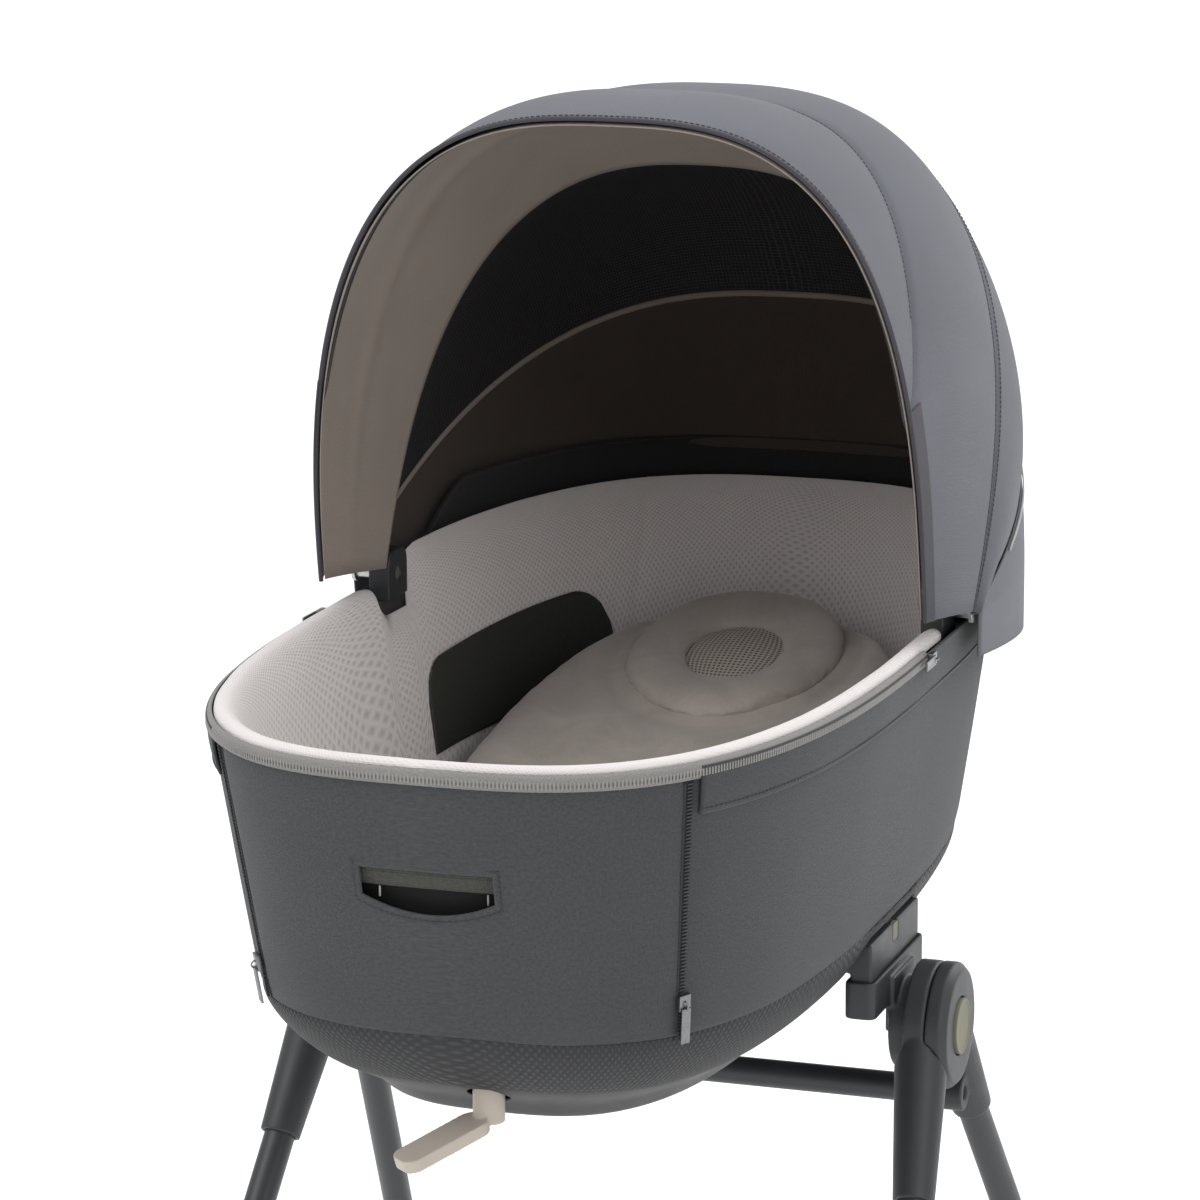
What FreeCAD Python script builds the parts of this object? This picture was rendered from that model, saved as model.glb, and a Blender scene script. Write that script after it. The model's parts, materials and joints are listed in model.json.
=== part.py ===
import FreeCAD
import Part

import math
import os

import Sketcher
from FreeCAD import Placement, Rotation, Vector

# Bassinet on a folding stand. Millimetres, +Z up, origin on the floor under the middle of the
# whole object. The foot end of the tub points to -Y, the head end and the hood to +Y.
# "right" is +X and "left" is -X.

SIZES = {
    # the tub, from its rim down
    "rim_height": 800,
    "tub_length": 905,
    "tub_width": 456,
    "tub_centre_y": -11.5,
    "wall_depth": 195,
    "tub_depth": 278,
    "side_taper": 26,
    "foot_taper": 52,
    "head_taper": 49,
    "side_round": 76,
    "foot_round": 86,
    "head_round": 145,
    # fabric and shell walls
    "cloth": 2.5,
    "shell_wall": 3,
    "shell_gap": 1.5,
    "rim_tape_depth": 10,
    "rim_tube_width": 12,
    "rim_tube_top": 8,
    "liner_inset": 19,
    "liner_rise": 4,
    "valance_depth": 36,
    "band_depth": 48,
    "zip_share": 0.7235,
    "zip_tape_width": 8,
    "slot_width": 92,
    "slot_top_depth": 72,
    "slot_opening": 21,
    "strap_overlap": 14,
    # bed of the tub
    "mattress_thickness": 30,
    "mattress_top_depth": 154,
    "board_thickness": 6,
    "mattress_gap": 10,
    "hinge_y": -26,
    "hinge_gap": 8,
    "hinge_rod_radius": 3.5,
    "hinge_knuckle_radius": 6,
    "backrest_angle": 14.4,
    "pillow_length": 220,
    "pillow_width": 180,
    "pillow_hole_length": 96,
    "pillow_hole_width": 80,
    "pillow_thickness": 18,
    "pillow_from_hinge": 285,
    # recline lever under the foot end
    "lever_x": 7,
    "lever_from_foot": 116,
    "lever_boss_radius": 11,
    "lever_boss_length": 34,
    "lever_pin_radius": 4,
    "lever_length": 68,
    "lever_width": 27,
    "lever_thickness": 9,
    "lever_yaw": 39,
    "lever_pitch": 17,
    "rod_radius": 4,
    "rod_drop": 18,
    "rod_from_lever": 30,
    "rod_past_hinge": 90,
    "shoe_width": 36,
    "shoe_length": 44,
    "shoe_thickness": 12,
    # fit of the tub on its stand
    "hub_offset_y": -12.5,
    "hub_drop": 280,
    "lug_length": 130,
    "lug_face_inset": 26,
    "lug_top_depth": 206,
    "lug_shoulder_depth": 228,
    "lug_bottom_depth": 253.5,
    "lug_tongue": 16,
    "latch_width": 12,
    "latch_height": 13,
    "latch_thickness": 3,
    "latch_travel": 2,
    "fit_gap": 0.5,
    "socket_wall": 3,
    "socket_depth": 20,
    "socket_floor": 7,
    "socket_drum_radius": 33,
    "socket_drum_width": 13.5,
    "socket_corner": 6,
    "socket_web": 7,
    # hub and legs
    "hub_radius": 46,
    "hub_gap": 0.5,
    "front_drum_width": 16,
    "rear_drum_width": 15.5,
    "pin_radius": 6,
    "running_gap": 0.06,
    "button_radius": 21,
    "button_thickness": 6.5,
    "button_travel": 3,
    "button_proud": 2,
    "button_play": 0.5,
    "spring_radius": 11,
    "spring_wire": 2,
    "leg_splay": 33.6,
    "leg_lean": 6.85,
    "leg_offset": 20,
    "leg_radius": 11.5,
    "leg_wall": 1.6,
    "collar_radius": 15,
    "front_collar_end": 125,
    "rear_collar_end": 104,
    "collar_insert": 60,
    "collar_flare": 5,
    "rear_drum_bevel": 5,
    "front_drum_bevel": 1.5,
    "pin_end_wall": 3,
    "boss_length": 32,
    "tube_seat_depth": 12,
    "screw_radius": 3,
    "screw_length": 18,
    "screw_head_radius": 5,
    "screw_head_height": 3.5,
    "screw_head_seat": 10,
    "cross_tube_radius": 10.5,
    "cross_tube_y": 40,
    "cross_tube_drop": 64,
    "boss_radius": 13.5,
    "foot_radius": 16,
    "foot_axis_height": 15,
    "foot_sleeve": 46,
    "floor_bar_radius": 10,
    # hood
    "hood_pivot_y": 57.5,
    "hood_pivot_rise": 10,
    "hood_overhang": 28,
    "hood_cloth": 1.5,
    "hood_step": 3.5,
    "hood_front_drop": 44,
    "hood_front_from": -18,
    "hood_front_to": 12,
    "hood_mid_to": 39,
    "hood_rear_to": 96,
    "hood_front_bow_at": -13,
    "hood_mid_bow_at": 36,
    "hood_zip_at": 77,
    "hood_zip_reach": 130,
    "bow_width": 10,
    "bow_thickness": 2.5,
    "bow_gap": 0.3,
    "pivot_pin_radius": 5,
    "pivot_eye_radius": 13,
    "pivot_block_length": 38,
    "pivot_block_height": 37,
    "rim_slider_stand": 2.3,
    "rim_slider_back": 18,
    "zip_slider_length": 12,
    "zip_slider_width": 9,
    "zip_slider_thickness": 4,
    "puller_length": 26,
    "puller_width": 7,
}

OUTLINE_POINTS = 64
RIM_FOOT_POWER = 2.95
BASE_FOOT_POWER = 3.15
HEAD_POWER = 2.8
HOOD_POWER = 2.7
FAR = 700.0

doc = FreeCAD.newDocument("bassinet_on_stand")
sheet = doc.addObject("Spreadsheet::Sheet", "Sizes")
for row, (alias, number) in enumerate(SIZES.items(), start=1):
    sheet.set("A%d" % row, alias)
    sheet.set("B%d" % row, str(number))
    sheet.setAlias("B%d" % row, alias)
doc.recompute()

nodes = []


def size(alias):
    """One value of the sheet, as a number."""
    return float(sheet.get(alias))


def keep(label, item):
    """Makes an object a finished sub-part: its label is the node's name."""
    item.Label = label
    nodes.append(item)
    return item


# ---------------------------------------------------------------- places that several pieces share

rim = size("rim_height")
half_width = size("tub_width") / 2
foot_y = size("tub_centre_y") - size("tub_length") / 2
head_y = size("tub_centre_y") + size("tub_length") / 2
hub_y = size("tub_centre_y") + size("hub_offset_y")
hub_z = rim - size("hub_drop")
cloth = size("cloth")
shell_inset = cloth + size("shell_gap")
liner_inner = size("liner_inset") + cloth
hinge_y = size("hinge_y")
board_top = rim - size("mattress_top_depth") - size("mattress_thickness")
hinge_z = board_top - size("board_thickness") / 2
recline = Rotation(Vector(1, 0, 0), size("backrest_angle"))

lug_face = half_width - size("lug_face_inset")
socket_face = lug_face + size("fit_gap") + size("socket_wall")
front_drum_in = socket_face + size("socket_drum_width") + size("hub_gap")
rear_drum_in = front_drum_in + size("front_drum_width") + size("hub_gap")
rear_drum_out = rear_drum_in + size("rear_drum_width")
pin_start = socket_face + size("pin_end_wall")
button_back = rear_drum_out + size("button_proud") - size("button_thickness")
recess_floor = button_back - size("button_travel") - size("button_play")
leg_x = front_drum_in + 10
leg_slope = math.tan(math.radians(size("leg_splay")))
leg_spread = math.tan(math.radians(size("leg_lean")))
leg_start = size("leg_offset") / math.cos(math.radians(size("leg_splay")))
cross_tube_y = hub_y + size("cross_tube_y")
cross_tube_z = hub_z - size("cross_tube_drop")
cross_tube_reach = leg_x - size("boss_length") / 2 + size("tube_seat_depth")

pivot_y = size("tub_centre_y") + size("hood_pivot_y")
pivot_z = rim + size("hood_pivot_rise")
hood_rear_radius = head_y - pivot_y + size("hood_overhang")
hood_mid_radius = hood_rear_radius - 2 * size("hood_cloth") - size("hood_step")
hood_front_radius = hood_rear_radius - size("hood_front_drop")
hood_mid_start = hood_front_radius + 2 * size("hood_cloth") + 1
hood_front_half = half_width - 2
hood_mid_half = hood_front_half + 2 * size("hood_cloth") + size("bow_thickness")
hood_rear_half = hood_mid_half + size("hood_step")


# ---------------------------------------------------------------- small builders

def primitive(kind, label, placement=None, **bound):
    """A Part primitive whose sizes are bound to the sheet; numbers are set as they are."""
    item = doc.addObject("Part::" + kind, label)
    for name, value in bound.items():
        if isinstance(value, str):
            item.setExpression(name, value)
        else:
            setattr(item, name, value)
    if placement:
        item.Placement = placement
    return item


def boolean(kind, label, first, *others):
    """A Part cut, or a fusion of several objects."""
    if kind == "Cut":
        item = doc.addObject("Part::Cut", label)
        item.Base = first
        item.Tool = others[0] if len(others) == 1 else boolean("Fuse", label + "_tools", *others)
    else:
        item = doc.addObject("Part::MultiFuse", label)
        item.Shapes = [first, *others]
        item.Refine = True
    return item


def mirrored(label, source):
    """The left-hand twin of a right-hand piece."""
    item = doc.addObject("Part::Mirroring", label)
    item.Source = source
    item.Base = Vector(0, 0, 0)
    item.Normal = Vector(1, 0, 0)
    return item


def keep_pair(name, source):
    """A right-hand piece and its mirrored twin, each as a node of its own."""
    keep(name + "_right", source)
    keep(name + "_left", mirrored(name + "_left_mirror", source))


def keep_both(name, source):
    """A right-hand piece and its mirrored twin as the two solids of one node."""
    twin = mirrored(name + "_twin", source)
    pair = doc.addObject("Part::Compound", name + "_pair")
    pair.Links = [source, twin]
    keep(name, pair)


def solid_feature(label, shape):
    """A piece whose free-form shape is worked out from the sheet in code."""
    item = doc.addObject("Part::Feature", label)
    item.Shape = shape
    return item


def block(x_low, x_high, y_low, y_high, z_low, z_high):
    """A plain box solid between two corners."""
    box = Part.makeBox(x_high - x_low, y_high - y_low, z_high - z_low)
    box.translate(Vector(x_low, y_low, z_low))
    return box


def along_x(x, y, z):
    """A placement whose Z axis points to +X."""
    return Placement(Vector(x, y, z), Rotation(Vector(0, 0, 1), Vector(1, 0, 0)))


def origin_plane(body, role):
    """One of a body's own origin planes."""
    return [plane for plane in body.Origin.OriginFeatures if plane.Role == role][0]


def new_sketch(body, label, role="XY_Plane"):
    """An empty sketch on one of the body's own origin planes."""
    sketch = body.newObject("Sketcher::SketchObject", label)
    sketch.AttachmentSupport = [(origin_plane(body, role), "")]
    sketch.MapMode = "FlatFace"
    return sketch


def sketch_circle(sketch, radius):
    """A circle about the sketch's origin, its radius bound to an expression."""
    circle = sketch.addGeometry(Part.Circle(Vector(), Vector(0, 0, 1), 5), False)
    sketch.addConstraint(Sketcher.Constraint("Coincident", circle, 3, -1, 1))
    index = sketch.addConstraint(Sketcher.Constraint("Radius", circle, 5))
    sketch.setExpression("Constraints[%d]" % index, radius)


def sketch_rectangle(sketch, width, height):
    """A rectangle about the sketch's origin, both sizes bound to expressions."""
    corners = [Vector(-5, -5, 0), Vector(5, -5, 0), Vector(5, 5, 0), Vector(-5, 5, 0)]
    lines = []
    for index in range(4):
        edge = Part.LineSegment(corners[index], corners[(index + 1) % 4])
        lines.append(sketch.addGeometry(edge, False))
    for index in range(4):
        sketch.addConstraint(
            Sketcher.Constraint("Coincident", lines[index], 2, lines[(index + 1) % 4], 1))
    for index, kind in enumerate(("Horizontal", "Vertical", "Horizontal", "Vertical")):
        sketch.addConstraint(Sketcher.Constraint(kind, lines[index]))
    sketch.addConstraint(Sketcher.Constraint("Symmetric", lines[0], 1, lines[2], 1, -1, 1))
    wide = sketch.addConstraint(Sketcher.Constraint("DistanceX", lines[0], 1, lines[0], 2, 10))
    high = sketch.addConstraint(Sketcher.Constraint("DistanceY", lines[1], 1, lines[1], 2, 10))
    sketch.setExpression("Constraints[%d]" % wide, width)
    sketch.setExpression("Constraints[%d]" % high, height)


def pad(body, sketch, length, symmetric=False):
    """Pads a sketch by a bound length."""
    feature = body.newObject("PartDesign::Pad", sketch.Label + "_pad")
    feature.Profile = sketch
    feature.setExpression("Length", length)
    if symmetric:
        feature.SideType = "Symmetric"
    return feature


def round_edges(body, base, radius, picked):
    """Fillets the edges of a feature that the test picks."""
    doc.recompute()
    names = ["Edge%d" % (n + 1) for n, edge in enumerate(base.Shape.Edges) if picked(edge)]
    feature = body.newObject("PartDesign::Fillet", base.Label + "_round")
    feature.Base = (base, names)
    feature.Radius = radius
    return feature


def stands_up(edge):
    """True for an edge along the body's own Z axis."""
    ends = [vertex.Point for vertex in edge.Vertexes]
    return len(ends) == 2 and abs((ends[1] - ends[0]).normalize().z) > 0.99


def plate_body(label, width, height, thickness, corner):
    """A rectangular plate with rounded corners, padded from a bound sketch."""
    body = doc.addObject("PartDesign::Body", label + "_body")
    sketch = new_sketch(body, label + "_outline")
    sketch_rectangle(sketch, width, height)
    feature = pad(body, sketch, thickness)
    if corner:
        round_edges(body, feature, corner, stands_up)
    return body


def disc_body(label, radius, thickness):
    """A round piece padded from a bound circle."""
    body = doc.addObject("PartDesign::Body", label + "_body")
    sketch = new_sketch(body, label + "_circle")
    sketch_circle(sketch, radius)
    pad(body, sketch, thickness)
    return body


# ---------------------------------------------------------------- the tub's outer form

def tub_edges(depth, inset):
    """Half width, foot end, head end and foot power of the tub at a depth below its rim."""
    wall = depth / size("wall_depth")
    under = max(0.0, depth - size("wall_depth")) / (size("tub_depth") - size("wall_depth"))
    rounding = 1 - max(0.0, 1 - under ** 1.7) ** 0.85
    side = half_width - wall * size("side_taper") - rounding * size("side_round") - inset
    foot = foot_y + wall * size("foot_taper") + rounding * size("foot_round") + inset
    head = head_y - wall * size("head_taper") - rounding * size("head_round") - inset
    blend = min(1.0, max(0.0, wall))
    power = RIM_FOOT_POWER + blend * (BASE_FOOT_POWER - RIM_FOOT_POWER)
    return side, foot, head, power


def superellipse(angle, power):
    """A point of the unit superellipse, as its two coordinates."""
    c, s = math.cos(angle), math.sin(angle)
    return (math.copysign(abs(c) ** (2 / power), c), math.copysign(abs(s) ** (2 / power), s))


def tub_outline(depth, inset):
    """Closed outline of the tub, level with the floor, at a depth below the rim."""
    side, foot, head, foot_power = tub_edges(depth, inset)
    points = []
    for step in range(OUTLINE_POINTS):
        angle = 2 * math.pi * step / OUTLINE_POINTS
        towards_head = math.sin(angle) >= 0
        across, along = superellipse(angle, HEAD_POWER if towards_head else foot_power)
        reach = (head - hub_y) if towards_head else (hub_y - foot)
        points.append(Vector(side * across, hub_y + reach * along, rim - depth))
    curve = Part.BSplineCurve()
    curve.interpolate(points, PeriodicFlag=True)
    return Part.Wire([curve.toShape()])


def tub_solid(depths, inset, straight=True):
    """Filled form of the tub between the first and the last of some depths."""
    return Part.makeLoft([tub_outline(depth, inset) for depth in depths], True, straight)


def tub_wall(top, bottom, outer, inner):
    """A straight-sided ring of wall between two depths and two insets."""
    hole = tub_solid([top - 1, bottom + 1], inner)
    return tub_solid([top, bottom], outer).cut(hole)


def foot_wedge(margin):
    """A block over the foot end, its two sides on the lines of the foot zips."""
    low_z = rim - size("tub_depth") - 20
    corners = []
    for z in (rim + 20, low_z):
        side = tub_edges(rim - z, 0)[0] * size("zip_share") + margin
        corners.append((side, z))
    (top_x, top_z), (low_x, low_z) = corners
    outline = [Vector(-top_x, -FAR, top_z), Vector(top_x, -FAR, top_z),
               Vector(low_x, -FAR, low_z), Vector(-low_x, -FAR, low_z)]
    face = Part.Face(Part.makePolygon(outline + outline[:1]))
    return face.extrude(Vector(0, FAR + hub_y - 100, 0))


# ---------------------------------------------------------------- stand: legs, hubs, feet

def leg_point(end, height):
    """Centre of the right-hand leg line at a height; end is -1 for the front, 1 for the rear."""
    drop = hub_z - height
    return Vector(leg_x + leg_spread * drop, hub_y + end * (leg_start + leg_slope * drop), height)


def leg_frame(end, distance):
    """Placement on the leg line, Z down the leg, at a distance below the hub's level."""
    start = leg_point(end, hub_z)
    down = (leg_point(end, 0) - start).normalize()
    return Placement(start + down * distance, Rotation(Vector(0, 0, 1), down))


def leg_length(end):
    """Distance from the hub's level to the foot's centre, along the leg."""
    return (leg_point(end, size("foot_axis_height")) - leg_point(end, hub_z)).Length


def make_leg(name, end):
    """Round tube from inside its hub casing to its corner foot."""
    start = size("collar_insert")
    length = leg_length(end) - start - size("foot_radius")
    outer = primitive("Cylinder", name + "_outer", leg_frame(end, start),
                      Radius="Sizes.leg_radius", Height=length)
    inner = primitive("Cylinder", name + "_inner", leg_frame(end, start - 1),
                      Radius="Sizes.leg_radius - Sizes.leg_wall", Height=length + 2)
    keep_pair(name, boolean("Cut", name + "_tube", outer, inner))


def make_casing(name, end, drum_in, width, collar_end):
    """Hub half and the holes it needs: a drum on the hub axis, its collar down the leg."""
    drum_width = "Sizes." + width
    drum = primitive("Cylinder", name + "_drum", along_x(drum_in, hub_y, hub_z),
                     Radius="Sizes.hub_radius", Height=drum_width)
    doc.recompute()
    softened = doc.addObject("Part::Chamfer", name + "_drum_edge")
    softened.Base = drum
    bevel = size("rear_drum_bevel") if end > 0 else size("front_drum_bevel")
    softened.Edges = [(n + 1, bevel, bevel) for n, edge in enumerate(drum.Shape.Edges)
                      if len(edge.Vertexes) == 1 and edge.CenterOfMass.x > drum_in + 1]
    collar = primitive("Cone", name + "_collar", leg_frame(end, 8),
                       Radius1="Sizes.collar_radius + Sizes.collar_flare",
                       Radius2="Sizes.collar_radius", Height="Sizes.%s - 8" % collar_end)
    clear = "Sizes.hub_radius + Sizes.hub_gap"
    inner_side = primitive("Cylinder", name + "_inner_side", along_x(0, hub_y, hub_z),
                           Radius=clear, Height=drum_in)
    outer_side = primitive("Cylinder", name + "_outer_side",
                           along_x(drum_in + size(width), hub_y, hub_z),
                           Radius=clear, Height=FAR)
    collar_cut = boolean("Cut", name + "_collar_cut", collar, inner_side, outer_side)
    tube_bore = primitive("Cylinder", name + "_tube_bore",
                          leg_frame(end, size("collar_insert")),
                          Radius="Sizes.leg_radius", Height=FAR)
    pin_hole = "Sizes.pin_radius + Sizes.running_gap" if end < 0 else "Sizes.pin_radius"
    pin_bore = primitive("Cylinder", name + "_pin_bore", along_x(drum_in - 1, hub_y, hub_z),
                         Radius=pin_hole, Height=drum_width + " + 2")
    return boolean("Fuse", name + "_body", softened, collar_cut), [tube_bore, pin_bore]


def make_front_casing():
    """The inner hub drum, one piece with the front leg's collar."""
    body, bores = make_casing("front_casing", -1, front_drum_in, "front_drum_width",
                              "front_collar_end")
    keep_pair("front_casing", boolean("Cut", "front_casing_done", body, *bores))


def on_cross_tube(x):
    """A placement on the cross tube's axis, Z to +X."""
    return along_x(x, cross_tube_y, cross_tube_z)


def make_rear_casing():
    """The outer hub cover, one piece with the rear leg's collar and the cross tube's boss."""
    body, bores = make_casing("rear_casing", 1, rear_drum_in, "rear_drum_width",
                              "rear_collar_end")
    boss_start = leg_x - size("boss_length") / 2
    boss = primitive("Cylinder", "rear_boss", on_cross_tube(boss_start),
                     Radius="Sizes.boss_radius", Height="Sizes.boss_length")
    whole = boolean("Fuse", "rear_casing_whole", body, boss)
    seat = primitive("Cylinder", "cross_tube_seat", on_cross_tube(boss_start - 1),
                     Radius="Sizes.cross_tube_radius", Height="Sizes.tube_seat_depth + 1")
    screw_hole = primitive("Cylinder", "screw_hole", on_cross_tube(boss_start),
                           Radius="Sizes.screw_radius", Height="Sizes.boss_length")
    head_hole = primitive("Cylinder", "screw_head_hole",
                          on_cross_tube(leg_x + size("screw_head_seat")),
                          Radius="Sizes.screw_head_radius + Sizes.fit_gap",
                          Height="Sizes.boss_length")
    recess = primitive("Cylinder", "button_recess", along_x(recess_floor, hub_y, hub_z),
                       Radius="Sizes.button_radius + 0.3", Height=FAR)
    keep_pair("rear_casing", boolean("Cut", "rear_casing_done", whole, *bores, seat,
                                     screw_hole, head_hole, recess))


def make_cross_tube():
    """Upper tube between the two rear casings, and the two screws that hold it."""
    reach = cross_tube_reach
    outer = primitive("Cylinder", "cross_tube_outer", on_cross_tube(-reach),
                      Radius="Sizes.cross_tube_radius", Height=2 * reach)
    inner = primitive("Cylinder", "cross_tube_inner", on_cross_tube(-reach - 1),
                      Radius="Sizes.cross_tube_radius - Sizes.leg_wall", Height=2 * reach + 2)
    keep("cross_tube", boolean("Cut", "cross_tube_cut", outer, inner))
    head_seat = leg_x + size("screw_head_seat")
    shank = primitive("Cylinder", "screw_shank", on_cross_tube(head_seat - size("screw_length")),
                      Radius="Sizes.screw_radius", Height="Sizes.screw_length")
    head = primitive("Cylinder", "screw_head", on_cross_tube(head_seat),
                     Radius="Sizes.screw_head_radius", Height="Sizes.screw_head_height")
    keep_both("cross_tube_screws", boolean("Fuse", "cross_tube_screw", shank, head))


def make_hub_pins():
    """Steel pins on which the front casings turn, held in the socket and the rear casing."""
    keep_both("hub_pins", primitive("Cylinder", "hub_pin", along_x(pin_start, hub_y, hub_z),
                                    Radius="Sizes.pin_radius",
                                    Height=recess_floor - 1 - pin_start))


def make_buttons():
    """Push buttons in the middle of the hub covers, and the springs behind them."""
    button = disc_body("fold_button", "Sizes.button_radius", "Sizes.button_thickness")
    button.Placement = along_x(button_back, hub_y, hub_z)
    keep_pair("fold_button", button)
    spring_start = recess_floor + 0.2
    outer = primitive("Cylinder", "button_spring_outer", along_x(spring_start, hub_y, hub_z),
                      Radius="Sizes.spring_radius", Height=button_back - 0.1 - spring_start)
    inner = primitive("Cylinder", "button_spring_inner", along_x(spring_start - 1, hub_y, hub_z),
                      Radius="Sizes.spring_radius - Sizes.spring_wire",
                      Height=button_back + 1 - spring_start)
    keep_pair("button_spring", boolean("Cut", "button_spring_ring", outer, inner))


def make_socket():
    """Cup that takes the tub's lug, with the fixed drum behind it."""
    cup_top = rim - size("lug_bottom_depth") + size("socket_depth")
    floor = rim - size("lug_bottom_depth") - 0.3
    gap = size("fit_gap")
    tongue_in = lug_face - size("lug_tongue")
    half = size("lug_length") / 2 + gap
    wall = size("socket_wall")
    outside = doc.addObject("Part::Box", "socket_outside")
    outside.Length = socket_face - (tongue_in - gap - wall)
    outside.setExpression("Width", "Sizes.lug_length + 2 * (Sizes.fit_gap + Sizes.socket_wall)")
    outside.setExpression("Height", "Sizes.socket_depth + Sizes.socket_floor + 0.3")
    outside.Placement.Base = Vector(tongue_in - gap - wall, hub_y - half - wall,
                                    floor - size("socket_floor"))
    doc.recompute()
    rounded = doc.addObject("Part::Fillet", "socket_rounded")
    rounded.Base = outside
    corner = size("socket_corner")
    rounded.Edges = [(n + 1, corner, corner) for n, edge in enumerate(outside.Shape.Edges)
                     if stands_up(edge)]
    inside = doc.addObject("Part::Box", "socket_inside")
    inside.Length = lug_face + gap - (tongue_in - gap)
    inside.setExpression("Width", "Sizes.lug_length + 2 * Sizes.fit_gap")
    inside.Height = FAR
    inside.Placement.Base = Vector(tongue_in - gap, hub_y - half, floor)
    drum = primitive("Cylinder", "socket_drum", along_x(socket_face, hub_y, hub_z),
                     Radius="Sizes.socket_drum_radius", Height="Sizes.socket_drum_width")
    web = doc.addObject("Part::Box", "socket_web")
    web.setExpression("Length", "Sizes.socket_web")
    web.setExpression("Width", "1.7 * Sizes.socket_drum_radius")
    web.Height = cup_top - 6 - hub_z
    web.Placement.Base = Vector(socket_face - wall,
                                hub_y - 0.85 * size("socket_drum_radius"), hub_z)
    bore = primitive("Cylinder", "socket_pin_bore", along_x(pin_start, hub_y, hub_z),
                     Radius="Sizes.pin_radius", Height=FAR)
    body = boolean("Fuse", "socket_body", rounded, drum, web)
    keep_pair("socket", boolean("Cut", "socket_done", body, inside, bore))


def make_foot(name, end):
    """Rubber corner at the floor that joins a leg to its floor bar."""
    corner = leg_point(end, size("foot_axis_height"))
    sleeve = primitive("Cylinder", name + "_sleeve",
                       leg_frame(end, leg_length(end) - size("foot_sleeve")),
                       Radius="Sizes.foot_radius", Height="Sizes.foot_sleeve")
    ball = primitive("Sphere", name + "_ball", Placement(corner, Rotation()),
                     Radius="Sizes.foot_radius")
    arm = primitive("Cylinder", name + "_arm",
                    along_x(corner.x - size("foot_sleeve"), corner.y, corner.z),
                    Radius="Sizes.foot_radius", Height="Sizes.foot_sleeve")
    leg_bore = primitive("Cylinder", name + "_leg_bore",
                         leg_frame(end, leg_length(end) - size("foot_sleeve") - 1),
                         Radius="Sizes.leg_radius",
                         Height="Sizes.foot_sleeve + 1 - Sizes.foot_radius")
    bar_bore = primitive("Cylinder", name + "_bar_bore",
                         along_x(corner.x - size("foot_sleeve") - 1, corner.y, corner.z),
                         Radius="Sizes.floor_bar_radius",
                         Height="Sizes.foot_sleeve + 1 - Sizes.foot_radius")
    below = doc.addObject("Part::Box", name + "_below")
    below.Length = FAR
    below.Width = FAR
    below.Height = FAR
    below.Placement.Base = Vector(corner.x - FAR / 2, corner.y - FAR / 2, -FAR)
    body = boolean("Fuse", name + "_body", sleeve, ball, arm)
    keep_both(name + "_feet", boolean("Cut", name + "_done", body, leg_bore, bar_bore, below))


def make_floor_bar(name, end):
    """Straight tube between the two feet at one end of the stand."""
    corner = leg_point(end, size("foot_axis_height"))
    reach = corner.x - size("foot_radius")
    outer = primitive("Cylinder", name + "_outer", along_x(-reach, corner.y, corner.z),
                      Radius="Sizes.floor_bar_radius", Height=2 * reach)
    inner = primitive("Cylinder", name + "_inner", along_x(-reach - 1, corner.y, corner.z),
                      Radius="Sizes.floor_bar_radius - Sizes.leg_wall", Height=2 * reach + 2)
    keep(name, boolean("Cut", name + "_tube", outer, inner))


# ---------------------------------------------------------------- tub: base, lugs, latches

def base_outer_form():
    """Depths at which the hull's form is laid out, from inside the band to its flat bottom."""
    depths = [size("wall_depth") - 20, size("wall_depth")]
    steps = 6
    for step in range(1, steps + 1):
        share = step / steps
        depths.append(size("wall_depth") + share * (size("tub_depth") - size("wall_depth")))
    return depths


def lever_axis():
    """Foot of the recline lever's upright axis, in plan."""
    return Vector(size("lever_x"), foot_y + size("lever_from_foot"), 0)


def lever_top():
    """Height at which the lever's round boss ends, inside the hull."""
    return rim - size("tub_depth") + size("lever_boss_length") + 6


def make_base_shell():
    """Moulded hull under the tub: open above, with a lever opening and an air slot."""
    depths = base_outer_form()
    outer = tub_solid(depths, shell_inset, straight=False)
    wall = size("shell_wall")
    inner_depths = [depths[0] - 1] + depths[1:-1] + [size("tub_depth") - wall]
    inner = tub_solid(inner_depths, shell_inset + wall, straight=False)
    axis = lever_axis()
    rib_low = lever_top() + 4
    rib = block(axis.x - 45, axis.x + 45, axis.y - 60, axis.y + 40, rib_low, rib_low + 5)
    shell = outer.cut(inner).fuse(rib.common(outer))
    hole = Part.makeCylinder(size("lever_boss_radius") + 4, rib_low - 1 - (rim - 300),
                             Vector(axis.x, axis.y, rim - 300))
    pin_hole = Part.makeCylinder(size("lever_pin_radius"), 60, Vector(axis.x, axis.y, rib_low - 10))
    slot = block(30, 96, axis.y - 80, axis.y - 5, rim - 256, rim - 251)
    shell = shell.cut(hole).cut(pin_hole).cut(slot)
    keep("base_shell", solid_feature("base_shell_form", shell.removeSplitter()))
    return outer


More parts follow.
